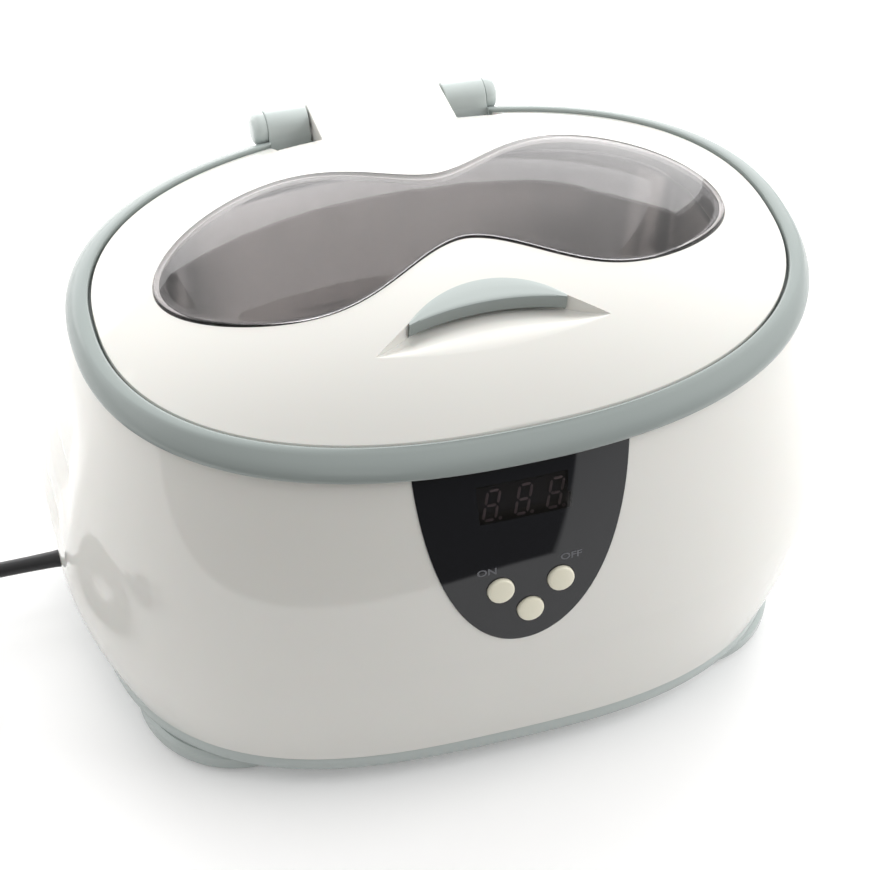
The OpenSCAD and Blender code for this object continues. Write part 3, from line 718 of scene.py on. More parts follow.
@dataclass(frozen=True)
class BodyForm:
    """The swelling oval of the body, its ribbed ends and its front panel."""

    body_a: float = 102.7
    body_b: float = 73.6
    belly_z: float = 50.0
    seam_z: float = 105.0
    tray_z: float = 12.0
    tray_a: float = 93.4
    tray_b: float = 70.6
    top_a: float = 90.0
    top_b: float = 60.6
    front_powers: Flat = (1.65, 1.5)
    end_powers: Flat = (1.53, 1.74)
    end_drop: float = 3.2
    oval_power: float = 2.32
    oval_gain: float = 0.5
    oval_fade: float = 1.1
    recess_depth: float = 3.3
    recess_low: float = 27.0
    recess_rise: float = 45.0
    recess_top: float = 76.0
    recess_fade: float = 22.0
    recess_middle: float = 0.36
    recess_half: float = 0.62
    recess_edge: float = 0.2
    recess_cosine: float = 0.3
    notch_depth: float = 1.4
    notch_above: float = 3.5
    notch_below: float = 5.5
    notch_levels: tuple[float, ...] = (36.0, 51.0, 66.0)
    notch_steps: tuple[float, ...] = (-5.5, -4.2, -3.0, -1.9, -0.9, -0.3, 0.0, 0.3, 0.9, 1.7, 2.6, 3.5,
                                      5.0, 6.5, 8.0)
    panel_half: float = 26.8
    panel_rise: float = 7.0
    panel_drop: float = 57.3
    panel_tilt: float = 15.0
    panel_mid_z: float = 80.0

    def above(self, z: float) -> float:
        """Share of the draw-in above the belly."""
        return max(0.0, (z - self.belly_z) / (self.seam_z - self.belly_z)) ** self.front_powers[0]

    def below(self, z: float) -> float:
        """Share of the draw-in below the belly."""
        return max(0.0, (self.belly_z - z) / (self.belly_z - self.tray_z)) ** self.front_powers[1]

    def half_x(self, z: float) -> float:
        """Half length of the body at a height; the ends bulge a little lower than the front.

        Args:
            z: Height.

        Returns:
            The half length.
        """
        belly = self.belly_z - self.end_drop
        above = max(0.0, (z - belly) / (self.seam_z - belly)) ** self.end_powers[0]
        below = max(0.0, (belly - z) / (belly - self.tray_z)) ** self.end_powers[1]
        return self.body_a - (self.body_a - self.top_a) * above - (self.body_a - self.tray_a) * below

    def half_y(self, z: float) -> float:
        """Half depth of the body at a height."""
        return (self.body_b - (self.body_b - self.top_b) * self.above(z)
                - (self.body_b - self.tray_b) * self.below(z))

    def power(self, z: float) -> float:
        """Superellipse exponent at a height."""
        down = max(0.0, (self.seam_z - z) / (self.seam_z - self.tray_z))
        return self.oval_power + self.oval_gain * down ** self.oval_fade

    def rib_cut(self, z: float, t: float) -> float:
        """Depth of the grip recess and its notches in the body's end at a height and angle.

        Args:
            z: Height.
            t: Parameter angle in radians.

        Returns:
            The depth, which is 0 away from the ends.
        """
        if abs(math.cos(t)) <= self.recess_cosine:
            return 0.0
        away = abs(math.sin(t) - self.recess_middle)
        reach = max(0.0, min(1.0, (self.recess_half - away) / self.recess_edge))
        rise = max(0.0, min(1.0, (z - self.recess_low) / self.recess_rise))
        fade = max(0.0, min(1.0, (z - self.recess_top) / self.recess_fade))
        recess = self.recess_depth * rise * (1 - fade * fade * (3 - 2 * fade))
        notches = sum(max(0.0, 1 - ((z - level) / self.notch_above if z > level
                                    else (level - z) / self.notch_below)) for level in self.notch_levels)
        return (recess + self.notch_depth * notches) * reach

    def ring(self, z: float, inset_x: float = 0.0, inset_y: float = 0.0, count: int = 256) -> list[Point]:
        """Ring of the body, drawn in by an inset, with ribs only on the outside.

        Args:
            z: Height.
            inset_x: How far it is drawn in along X.
            inset_y: How far it is drawn in along Y.
            count: Points round it.

        Returns:
            The ring.
        """
        points = []
        for i in range(count):
            t = math.tau * i / count
            cut = 0.0 if inset_x > 1 else self.rib_cut(z, t)
            x, y = oval_point(self.half_x(z) - inset_x - cut, self.half_y(z) - inset_y, self.power(z), t)
            points.append((x, y, z))
        return points

    def front_y(self, x: float, z: float) -> float:
        """Y of the body's front at a place."""
        n = self.power(z)
        return -self.half_y(z) * max(0.0, 1 - (abs(x) / self.half_x(z)) ** n) ** (1 / n)

    def panel_rows(self, grow: float, proud: float, depth: float, top: float,
                   steps: int = 56, columns: int = 44, tip: float = 88.0) -> list[list[Point]]:
        """Rings of a slab that follows the body's front inside the panel's outline.

        Args:
            grow: How much wider than the panel it is.
            proud: How far it stands out of the body.
            depth: How far it reaches into the body.
            top: Height of its upper edge.
            steps: Rings from tip to top.
            columns: Columns across.
            tip: Angle at which the lower tip is closed.

        Returns:
            The rings, from the tip up.
        """
        centre, drop = self.seam_z + self.panel_rise, self.panel_drop + grow
        low = math.asin(min(1.0, (centre - top) / drop))
        rows = []
        for j in range(steps, -1, -1):
            t = low + (math.radians(tip) - low) * j / steps
            z = centre - drop * math.sin(t)
            half = (self.panel_half + grow) * math.cos(t)
            across = [half * (2 * i / columns - 1) for i in range(columns + 1)]
            rows.append([(x, self.front_y(x, z) - proud, z) for x in across]
                        + [(x, self.front_y(x, z) + depth, z) for x in reversed(across)])
        return capped(rows)

    def panel_frame(self) -> Matrix:
        """The control panel's own frame: X right, Y up the panel, Z out of it."""
        return turned((0, -self.half_y(self.panel_mid_z), self.panel_mid_z), 90 - self.panel_tilt, "X")

    def panel_lift(self, v: float) -> float:
        """How far the body's surface stands out of the panel frame's plane at a height up the panel.

        Args:
            v: Height up the panel, in its frame.

        Returns:
            The distance along the frame's Z.
        """
        tilt = math.radians(self.panel_tilt)
        z = self.panel_mid_z + v * math.cos(tilt)
        return ((self.half_y(z) - self.half_y(self.panel_mid_z)) * math.cos(tilt)
                + (z - self.panel_mid_z) * math.sin(tilt))


FORM = BodyForm()


@dataclass(frozen=True)
class LidForm:
    """The crowned lid: its edge, its butterfly window and its finger pocket."""

    edge_a: float = 86.3
    edge_b: float = 55.7
    edge_n: float = 2.29
    edge_z: float = 110.5
    rise: float = 20.0
    window_a: float = 72.3
    window_b: float = 30.7
    window_y: float = 0.3
    waist_share: float = 0.61
    waist_width: float = 0.355
    waist_power: float = 1.8
    hinge_y: float = 61.1
    hinge_z: float = 110.8
    barrel_r: float = 4.7
    tongue_half: float = 18.0
    arc_x: float = 19.4
    arc_r: float = 30.4
    pocket_half: float = 28.6
    pocket_deep: float = 6.9
    pocket_back: float = -23.7
    pocket_front: float = -39.9
    pocket_bow: float = 3.55
    pocket_slope: float = 0.582
    boss_deep: float = 6.5
    boss_half: Flat = (27.0, 10.5)
    boss_y: float = -31.0
    count: int = 288

    def crown(self, x: float, y: float) -> float:
        """Height of the crown."""
        return self.edge_z + self.rise * (1 - (abs(x) / self.edge_a) ** self.edge_n
                                          - (abs(y) / self.edge_b) ** self.edge_n)

    def waist(self, x: float) -> float:
        """Share of the window's depth that is left at a distance from the middle."""
        return 1 - self.waist_share * math.exp(
            -(abs(x) / (self.window_a * self.waist_width)) ** self.waist_power)

    def window(self, t: float, inset: float = 0.0, share: float = 1.0) -> Flat:
        """Point of the window's outline, drawn in by an inset or scaled by a share.

        Args:
            t: Parameter angle in radians.
            inset: How far it is drawn in.
            share: Scale about the middle.

        Returns:
            The point.
        """
        across = self.window_a * math.cos(t)
        return ((self.window_a - inset) * math.cos(t) * share,
                ((self.window_b * self.waist(across) - inset) * math.sin(t) + self.window_y) * share)

    def edge(self, t: float, inset: float = 0.0) -> Flat:
        """Point of the lid's edge, drawn in by an inset."""
        return oval_point(self.edge_a - inset, self.edge_b - inset, self.edge_n, t)

    def angles(self) -> list[float]:
        """Evenly spread angles of a ring's points."""
        return [math.tau * i / self.count for i in range(self.count)]

    def draped(self, spot: Callable[[float], Flat], lift: float, boss: float = 0.0) -> list[Point]:
        """Ring of points that lie a lift above the crown.

        Args:
            spot: Gives the flat place for an angle.
            lift: Height above the crown.
            boss: Share of the thickness under the finger pocket that is taken off.

        Returns:
            The ring.
        """
        return [(x, y, self.crown(x, y) + lift - boss * self.boss(x, y)) for x, y in map(spot, self.angles())]

    def hinge_frame(self, start: float) -> Matrix:
        """Frame on the hinge's axis from a place along it: X to the rear, Y up and Z along the axis."""
        return Matrix(((0, 0, 1, start), (1, 0, 0, self.hinge_y), (0, 1, 0, self.hinge_z), (0, 0, 0, 1)))

    def between(self, t: float, s: float, window_inset: float, edge_inset: float) -> Flat:
        """Point between the window's outline, s = 0, and the lid's edge, s = 1."""
        (x0, y0), (x1, y1) = self.window(t, window_inset), self.edge(t, edge_inset)
        return x0 + s * (x1 - x0), y0 + s * (y1 - y0)

    def pocket_rear(self, x: float) -> float:
        """Rear limit of the finger pocket.

        Args:
            x: Place across the lid.

        Returns:
            Y of the limit.
        """
        centre = self.pocket_back - self.arc_r
        end = centre + math.sqrt(self.arc_r ** 2 - self.arc_x ** 2)
        if abs(x) <= self.arc_x:
            return centre + math.sqrt(self.arc_r ** 2 - x * x)
        return end - self.pocket_slope * (abs(x) - self.arc_x)

    def pocket_spot(self, x: float, w: float) -> Point:
        """Point of the finger pocket's floor, from its front crease, w = 0, to its rear wall, w = 1.

        Args:
            x: Place across the lid.
            w: Share of the way from front to rear.

        Returns:
            The point.
        """
        front = self.pocket_front + self.pocket_bow * (x / self.pocket_half) ** 2
        y = front + (self.pocket_rear(x) - front) * w
        sink = self.pocket_deep * w * w * (3 - 2 * w) * (1 - (abs(x) / self.pocket_half) ** 3)
        return x, y, self.crown(x, y) - 0.03 - sink

    def boss(self, x: float, y: float) -> float:
        """Extra thickness under the finger pocket."""
        across, along = abs(x) / self.boss_half[0], abs(y - self.boss_y) / self.boss_half[1]
        return self.boss_deep * math.exp(-across ** 6) * math.exp(-along ** 6)


LID_FORM = LidForm()


# ---------------------------------------------------------------- camera, studio


@dataclass
class Camera:
    """The camera: where it stands, how it is turned and its lens."""

    azimuth: float = -20.7
    elevation: float = 46.93
    roll: float = 4.34
    distance: float = 612.23
    target: Point = (0.32, -1.17, 51.12)
    lens: float = 96.34

    def build(self) -> bpy.types.Object:
        """Makes the camera and gives it to the scene.

        Returns:
            The camera.
        """
        a, e, r = (math.radians(x) for x in (self.azimuth, self.elevation, self.roll))
        back = Vector((math.sin(a) * math.cos(e), -math.cos(a) * math.cos(e), math.sin(e)))
        right = Vector((0, 0, 1)).cross(back).normalized()
        up = back.cross(right)
        right, up = (right * math.cos(r) + up * math.sin(r), up * math.cos(r) - right * math.sin(r))
        data = bpy.data.cameras.new("camera")
        data.lens, data.sensor_width, data.sensor_fit = self.lens, 36.0, "HORIZONTAL"
        data.clip_start, data.clip_end = 0.02, 50.0
        camera = bpy.data.objects.new("camera", data)
        bpy.context.scene.collection.objects.link(camera)
        turn = Matrix((right, up, back)).transposed().to_4x4()
        camera.matrix_world = Matrix.Translation((Vector(self.target) + back * self.distance) * MM) @ turn
        bpy.context.scene.camera = camera
        LOG.info("camera: lens %.1f mm", self.lens)
        return camera


@dataclass
class Studio:
    """White table with soft overhead light, and a dim room in front of it."""

    overhead: float = 11.5
    rear: float = 14.0
    left: float = 1.6
    right: float = 9.0
    front: float = 0.5
    ambient: float = 0.98
    floor_lift: float = 0.16
    front_slope: float = 0.125
    dark_front: Flat = (-0.246, -0.239)
    side_slope: float = 0.455
    dark_side: Flat = (-0.047, -0.042)

    def build(self) -> None:
        """Makes the table, the lights and the world."""
        scene = bpy.context.scene
        scene.view_settings.view_transform = "Standard"
        self.table()
        self.lamp("overhead", (0.2, 0.9, 1.0), (0, 0, 0.08), 1.5, 1.0, self.overhead, False)
        self.lamp("rear", (0.0, 1.2, 0.52), (0, 0, 0.1), 2.6, 0.85, self.rear)
        self.lamp("left_wall", (-1.05, 0.15, 0.65), (0, 0, 0.08), 0.9, 0.8, self.left)
        self.lamp("right_wall", (1.05, -0.25, 0.75), (0, 0, 0.08), 0.9, 0.8, self.right, False)
        self.lamp("front_fill", (-0.25, -1.3, 1.0), (0, 0, 0.05), 0.5, 0.4, self.front)
        self.world()

    def lamp(self, name: str, place: Point, aim: Point, width: float, height: float, power: float,
             mirrored: bool = True) -> None:
        """Makes a soft box.

        Args:
            name: Its name.
            place: Where it hangs, in metres.
            aim: The point it faces.
            width: Its width in metres.
            height: Its height in metres.
            power: Its power in watts.
            mirrored: Whether glossy surfaces show it.
        """
        data = bpy.data.lights.new(name, "AREA")
        data.shape, data.size, data.size_y, data.energy = "RECTANGLE", width, height, power
        lamp = bpy.data.objects.new(name, data)
        bpy.context.scene.collection.objects.link(lamp)
        lamp.location = place
        lamp.visible_glossy = mirrored
        lamp.rotation_mode = "QUATERNION"
        lamp.rotation_quaternion = (Vector(place) - Vector(aim)).to_track_quat("Z", "Y")

    def table(self) -> None:
        """Makes the pale table: white to the camera, with a dark field in front that only reflections see."""
        bpy.ops.object.select_all(action="DESELECT")
        bpy.ops.mesh.primitive_plane_add(size=6, location=(0, 0, 0))
        floor = bpy.context.active_object
        floor.name = "studio_floor"
        material, sheet, shader = Sheet.material("studio_floor")
        sheet.fill(shader, {"Base Color": (0.84, 0.84, 0.84, 1), "Roughness": 0.7, "Specular IOR Level": 0.1})
        light = sheet.add("ShaderNodeLightPath")
        glow = sheet.add("ShaderNodeEmission", i1=self.floor_lift)
        both = sheet.add("ShaderNodeAddShader")
        dark = sheet.add("ShaderNodeBsdfDiffuse", i0=(0.10, 0.095, 0.085, 1))
        split = sheet.add("ShaderNodeSeparateXYZ")
        sheet.join(sheet.add("ShaderNodeTexCoord").outputs["Object"], split.inputs[0])
        across, along = split.outputs[0], split.outputs[1]
        level = sheet.sum("ADD", sheet.sum("MULTIPLY", across, self.front_slope), along)
        near = sheet.spread(level, 0.0, 1.0, *self.dark_front)
        slant = sheet.sum("ADD", sheet.sum("MULTIPLY", along, self.side_slope), across)
        beside = sheet.spread(slant, 0.0, 1.0, *self.dark_side)
        seen = sheet.choose(sheet.sum("MAXIMUM", near, beside), dark.outputs[0], shader.outputs[0])
        sheet.join(shader.outputs[0], both.inputs[0])
        sheet.join(glow.outputs[0], both.inputs[1])
        surface = sheet.choose(light.outputs["Is Camera Ray"], seen, both.outputs[0])
        sheet.join(surface, material.node_tree.nodes["Material Output"].inputs["Surface"])
        floor.data.materials.append(material)

    def world(self) -> None:
        """Makes the room: white to the camera, soft grey otherwise and dim in front."""
        world = bpy.data.worlds.new("studio")
        bpy.context.scene.world = world
        world.use_nodes = True
        sheet = Sheet(world.node_tree)
        ground = world.node_tree.nodes["Background"]
        place = sheet.add("ShaderNodeTexCoord")
        split = sheet.add("ShaderNodeSeparateXYZ")
        sheet.join(place.outputs["Generated"], split.inputs[0])
        dim = sheet.spread(split.outputs[1], 0.22, 1.0, -0.8, 0.0)
        ground.inputs["Color"].default_value = (1.0, 0.99, 0.98, 1)
        sheet.join(sheet.sum("MULTIPLY", dim, self.ambient), ground.inputs["Strength"])
        white = sheet.add("ShaderNodeBackground", i0=(1, 1, 1, 1), i1=1.0)
        light = sheet.add("ShaderNodeLightPath")
        surface = sheet.choose(light.outputs["Is Camera Ray"], ground.outputs[0], white.outputs[0])
        sheet.join(surface, world.node_tree.nodes["World Output"].inputs["Surface"])


# ---------------------------------------------------------------- mains lead


@dataclass
class MainsLead:
    """The mains lead: strain relief, free run, two-layer coil with its tie, tail and plug."""

    exit: Point = (-93.0, 15.0, 12.8)
    diameter: float = 4.0
    coil_centre: Flat = (-166.0, -17.0)
    coil_lift: float = 0.5
    coil_middle: float = 24.0
    columns: int = 5
    boot_length: float = 24.0
    run: tuple[Point, ...] = ((-96, 15, 12.8), (-101, 15, 12.8), (-106, 15, 12.8), (-111, 15, 12.8),
                              (-117, 15, 12.8), (-120.5, 15, 12.8), (-124, 15, 12.2), (-128, 15, 10.9),
                              (-132, 15, 9.0), (-137, 15, 6.5), (-142, 15, 4.4), (-147, 15, 3.1),
                              (-153, 15, 2.5), (-160, 15, 2.5))
    tail: tuple[Point, ...] = ((-198, -23, 6.5), (-198, -28, 6.4), (-198, -34, 6.3), (-198, -40, 6.4),
                               (-198, -44, 6.4))
    coil_start: int = 90
    coil_step: int = 15
    climb: int = 240
    run_out: int = 210
    tie_angles: tuple[int, ...] = (301, 303, 305, 307, 309, 311, 313, 315)
    tie_wall: float = 0.45
    plug_height: float = 12.8
    plug_length: float = 35.0
    pin_x: float = 9.3
    pin_r: float = 2.0
    pin_length: float = 17.0

    def coil_spot(self, angle: float, radius: float, z: float) -> Point:
        """Point of the coil at an angle in degrees, a radius and a height."""
        return (*arc(radius, [angle], *self.coil_centre)[0], z)

    def route(self) -> list[Point]:
        """Points of the lead's centreline from the body to the plug.

        Returns:
            The points in millimetres.
        """
        half = (self.columns - 1) / 2 * self.diameter
        outer, inner = self.coil_middle + half, self.coil_middle - half
        low, high = self.coil_lift + self.diameter / 2, self.coil_lift + self.diameter * 1.5
        wound, step, angle = (self.columns - 1) * 360, self.coil_step, self.coil_start
        points: list[Point] = [self.exit, *self.run]
        points += [self.coil_spot(angle + k, outer - self.diameter * k / 360, low)
                   for k in range(0, wound + 1, step)]
        angle += wound
        for k in range(step, self.climb, step):
            share = k / self.climb
            rise = 3 * share ** 2 - 2 * share ** 3
            points.append(self.coil_spot(angle + k, inner, low + (high - low) * rise))
        angle += self.climb
        points += [self.coil_spot(angle + k, inner + self.diameter * k / 360, high)
                   for k in range(0, wound + 1, step)]
        angle += wound
        points += [self.coil_spot(angle + k, outer, high) for k in range(step, self.run_out, step)]
        return [*points, (self.tail[0][0], self.coil_centre[1], high), *self.tail]

    def length(self) -> float:
        """Length of the route in metres."""
        points = [Vector(p) for p in self.route()]
        return sum((b - a).length for a, b in zip(points, points[1:])) * MM

    def build(self) -> None:
        """Makes the lead and what is on it."""
        relief, plug, pins = self.strain_relief(), self.plug_body(), self.plug_pins()
        tie = self.tie()
        curve = bpy.data.curves.new("mains_lead", "CURVE")
        curve.dimensions = "3D"
        curve.bevel_depth, curve.bevel_resolution = self.diameter / 2 * MM, 4
        spline = curve.splines.new("POLY")
        points = self.route()
        spline.points.add(len(points) - 1)
        for spot, place in zip(spline.points, points):
            spot.co = (*(Vector(place) * MM), 1)
        lead = bpy.data.objects.new("mains_lead", curve)
        bpy.context.scene.collection.objects.link(lead)
        curve.materials.append(LEAD_BLACK.material())
        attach(lead, CABINET)
        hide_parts("cord_lead", "cord_coil", "cord_tail")
        round(self.length(), 3)
        LOG.info("mains_lead: %.2f m", self.length())

    def strain_relief(self) -> bpy.types.Object:
        """Makes the tapered strain relief with its collar.

        Returns:
            The piece.
        """
        tip = self.boot_length
        collar = [(0, -9), (4.3, -9), (4.6, -8.7), (4.6, -6.8), (4.3, -6.5), (3.1, -6.5), (3.1, 0.9)]
        steps = [(2.95, 1.2), (2.8, 1.35), (2.8, 2.5), (2.68, 2.75), (2.45, 2.9), (2.45, 3.5), (2.55, 3.7),
                 (2.6, 3.95)]
        sleeve = [(2.25, 7), (2.1, 14), (2.06, tip - 0.35), (2.02, tip - 0.05), (0, tip - 0.05)]
        piece = Shaper.turn("strain_relief_boot", collar + steps + sleeve, turned(self.exit, -90), 48)
        Shaper.smooth(piece, 40)
        return Workshop.adopt(piece, CABINET, Slot.CORD, [LEAD_BLACK], ["strain_relief"])

    def tie(self) -> bpy.types.Object:
        """Makes the band that holds the coil.

        Returns:
            The piece.
        """
        half, wall = self.columns * self.diameter / 2, self.tie_wall
        inner, outer = self.coil_middle - half, self.coil_middle + half
        low, top = self.coil_lift, self.coil_lift + 2 * self.diameter
        skin = [(inner - wall, 0.02), (outer + wall, 0.02), (outer + wall, top + wall),
                (inner - wall, top + wall)]
        hollow = [(inner, low), (outer, low), (outer, top), (inner, top)]
        outside, inside = ([[self.coil_spot(angle, r, z) for r, z in section] for angle in self.tie_angles]
                           for section in (skin, hollow))
        piece = Shaper.loft("coil_tie_band", [*outside, *inside[::-1]], closed=True)
        Shaper.round_off(piece, 0.15, 2)
        Shaper.smooth(piece)
        return Workshop.adopt(piece, CABINET, Slot.CORD, [BLACK_SATIN], ["coil_tie"])

    def plug_body(self) -> bpy.types.Object:
        """Makes the flat two-pin plug's body, waisted towards the lead.

        Returns:
            The piece.
        """
        x, y, middle = self.tail[-1][0], self.tail[-1][1], self.plug_height / 2
        stations = [(0.0, 3.3, 3.2), (1.0, 3.4, 3.3), (4, 3.7, 3.5), (9, 4.6, 4.1), (13, 7.2, 5.0),
                    (17, 10.4, 5.8), (21, 12.1, 6.2), (25, 12.8, 6.35), (30, 12.9, 6.4), (34.2, 12.9, 6.4),
                    (34.8, 12.6, 6.1), (self.plug_length, 12.2, 5.7)]
        rows = [[(x + point[0], y - run, middle + point[1]) for point in oval(half, thick, 3.4, 0.0, 48)]
                for run, half, thick in stations]
        piece = Shaper.loft("plug_shell", with_poles(rows, (x, y, middle), (x, y - self.plug_length, middle)))
        Shaper.smooth(piece, 40)
        return Workshop.adopt(piece, CABINET, Slot.CORD, [BLACK_SATIN], ["plug_body"])

    def plug_pins(self) -> bpy.types.Object:
        """Makes the two round pins with rounded ends.

        Returns:
            The piece.
        """
        x, y, middle = self.tail[-1][0], self.tail[-1][1] - self.plug_length, self.plug_height / 2
        r, length = self.pin_r, self.pin_length
        profile = [(0, 0), (r, 0), (r, length), *arc(r, range(15, 91, 15), 0.0, length)]
        pins = [Shaper.turn("pin", profile, turned((x + side * self.pin_x, y, middle), 90, "X"), 32)
                for side in (-1, 1)]
        piece = Shaper.merge("plug_contact_pins", pins)
        Shaper.smooth(piece, 50)
        return Workshop.adopt(piece, CABINET, Slot.STEEL, [TURNED_STEEL], ["plug_pins"])


# ---------------------------------------------------------------- cabinet


@dataclass
class Cabinet:
    """White housing, grey trim ring with its hinge knuckles, and the grey base tray."""

    form: BodyForm = field(default_factory=lambda: FORM)
    lid: LidForm = field(default_factory=lambda: LID_FORM)
    knuckle: float = 11.0
    knuckle_play: float = 0.5
    barrel_play: float = 0.15
    cap_room: float = 4.1
    cap_rise: float = 3.7
    lead_hole: Point = (-105.0, 15.0, 12.8)
    lead_hole_r: float = 3.2
    foot_inset: Flat = (31.4, 38.6)
    button_well: tuple[Flat, ...] = ((-7.5, -21.5), (7.5, -21.5), (13.5, -14), (13.5, -1.5), (-13.5, -1.5),
                                     (-13.5, -14))
    display_well: tuple[Flat, ...] = ((-13.0, 8.6), (13.0, 8.6), (13.0, 26.6), (-13.0, 26.6))

    @property
    def reach(self) -> float:
        """Distance from the middle to the knuckles."""
        return self.lid.tongue_half + self.knuckle_play

    def build(self) -> None:
        """Makes all the pieces of the cabinet."""
        self.housing()
        self.ring()
        self.hinge_caps()
        self.tray()
        Workshop.keep(PAD_RUBBER, "foot_pad_front_left", "foot_pad_front_right", "foot_pad_rear_left",
                      "foot_pad_rear_right")
        Workshop.keep(TURNED_STEEL, "base_screws", "hinge_pin")

    def housing(self) -> bpy.types.Object:
        """Makes the housing's shell, with the recess behind the front panel.

        Returns:
            The piece.
        """
        form = self.form
        levels = [12.25, 14, 16.5, 19, 22, 25, 27, 29]
        levels += [level + step for level in form.notch_levels for step in form.notch_steps]
        levels += [75.5, 77, *(form.recess_top + form.recess_fade * k / 14 for k in range(2, 15)), 100.0,
                   102.5, form.seam_z]
        rows = [form.ring(form.tray_z, 0.35, 0.35), *(form.ring(z) for z in levels)]
        rows += [form.ring(z, 6.8 if 30 < z < 90 else 5.0, 2.8) for z in (105, 97, 85, 65, 40, 27, 12)]
        piece = Shaper.loft("housing_shell", rows, closed=True)
        Shaper.boolean(piece, Shaper.loft("recess", form.panel_rows(0.12, 6, 1.45, form.seam_z + 2)))
        place = form.panel_frame() @ Matrix.Translation((0, 0, -20))
        for well in (self.button_well, self.display_well):
            Shaper.boolean(piece, Shaper.slab("well", well, 30, place))
        Shaper.boolean(piece, Shaper.rod("hole", self.lead_hole_r, 30, turned(self.lead_hole, 90), 48))
        Shaper.smooth(piece, 28)
        return Workshop.adopt(piece, CABINET, Slot.WHITE, [WHITE_GLOSS], ["housing"])

    def ring_profile(self) -> list[tuple[float, float, float, float]]:
        """Section of the trim ring.

        Returns:
            Half length, half depth, exponent and height of each ring of points.
        """
        form, lid = self.form, self.lid
        a, b, z = form.top_a, form.top_b, form.seam_z
        outer = [(2.0, 1.6, 2.30, -0.0), (2.3, 1.9, 2.30, 0.25), (2.6, 2.1, 2.28, 0.9), (2.6, 1.8, 2.28, 1.7),
                 (2.4, 1.2, 2.27, 2.6), (2.15, 0.4, 2.26, 3.4), (1.8, -0.6, 2.26, 4.15),
                 (1.4, -1.5, 2.26, 4.75), (1.0, -2.3, 2.27, 5.25), (0.5, -2.95, 2.275, 5.65),
                 (-0.1, -3.5, 2.28, 5.9)]
        inner = [(1.5, 1.3, 6.02), (1.15, 1.0, 6.0), (0.85, 0.75, 5.85), (0.7, 0.6, 5.5), (0.7, 0.6, 4.2),
                 (0.7, 0.6, 2.6)]
        shelf = [(83.6, 53.0, 2.4, 2.6), (83.6, 53.0, 2.4, -0.4), (76.5, 46.8, 2.8, -0.4),
                 (76.5, 46.8, 2.8, -3), (a - 5.4, b - 3.2, 2.32, -3), (a - 5.4, b - 3.2, 2.32, 0)]
        return [*((a + p, b + q, n, z + h) for p, q, n, h in outer),
                *((lid.edge_a + p, lid.edge_b + q, lid.edge_n, z + h) for p, q, h in inner),
                *((p, q, n, z + h) for p, q, n, h in shelf)]

    def ring(self) -> bpy.types.Object:
        """Makes the trim ring and its two hinge knuckles.

        Returns:
            The piece.
        """
        lid, reach = self.lid, self.reach
        band = Shaper.loft("ring", [oval(a, b, n, z, 288) for a, b, n, z in self.ring_profile()], closed=True)
        gap = [(-reach, lid.edge_b - 6), (reach, lid.edge_b - 6), (reach, 90.0), (-reach, 90.0)]
        Shaper.boolean(band, Shaper.slab("gap", gap, 20, Matrix.Translation((0, 0, self.form.seam_z + 0.2))))
        for start in (-reach - self.knuckle - self.cap_room, reach + self.knuckle):
            place, r = turned((start, lid.hinge_y, lid.hinge_z), 90), lid.barrel_r + self.barrel_play
            Shaper.boolean(band, Shaper.rod("hollow", r, self.cap_room, place, 64))
        wedge = [(-4.3, 2.0), (-9.0, 2.0), (-9.0, -3.2), (-6.8, -3.2)]
        starts = (-reach - self.knuckle, reach)
        for start in starts:
            Shaper.boolean(band, Shaper.slab("wedge", wedge, self.knuckle, lid.hinge_frame(start)))
        piece = Shaper.merge("trim_ring_shell", [band, *(self.knuckle_piece(start) for start in starts)])
        Shaper.smooth(piece, 30)
        Workshop.adopt(piece, CABINET, Slot.GREY, [GREY_SATIN, GREY_PAINTED_LIT], ["trim_ring"])
        # Knuckle faces take the second, lit grey copy: a painted highlight on the knuckles.
        for face in piece.data.polygons:
            x, y, z = face.center / MM
            beside = reach - 0.1 < abs(x) < reach + self.knuckle + 0.1
            face.material_index = int(beside and y > 53.5 and z > self.form.seam_z + 2.7)
        return piece

    def knuckle_piece(self, start: float) -> bpy.types.Object:
        """Makes one hinge knuckle: a barrel over a post that stands on the ring.

        Args:
            start: Where it starts along the hinge.

        Returns:
            The knuckle.
        """
        lid, r = self.lid, self.lid.barrel_r
        post = [(-6.8, lid.edge_z - 2.9 - lid.hinge_z), (r - 3.4, self.form.seam_z - lid.hinge_z), (r, -3.0)]
        piece = Shaper.slab("knuckle", arc(r, range(0, 156, 5)) + post, self.knuckle, lid.hinge_frame(start))
        Shaper.round_off(piece, 0.35, 3, 40)
        return piece

    def hinge_caps(self) -> None:
        """Makes the domed covers on the outer ends of the knuckles."""
        lid, r, rise = self.lid, self.lid.barrel_r - 0.2, self.cap_rise
        dome = arc(2.5, range(0, 91, 9), r - 2.5, 1.1)
        profile = [(0, 0.05), (r - 0.2, 0.05), (r, 0.25), *dome, (r - 3.4, rise - 0.04), (0, rise)]
        for side, name in ((-1, "left"), (1, "right")):
            place = turned((side * (self.reach + self.knuckle), lid.hinge_y, lid.hinge_z), 90 * side)
            piece = Shaper.turn(f"hinge_cap_{name}_dome", profile, place, 64)
            Shaper.smooth(piece, 40)
            # The caps take the lit grey copy: painted light.
            Workshop.adopt(piece, CABINET, Slot.GREY, [GREY_PAINTED_LIT], [f"hinge_cap_{name}"])

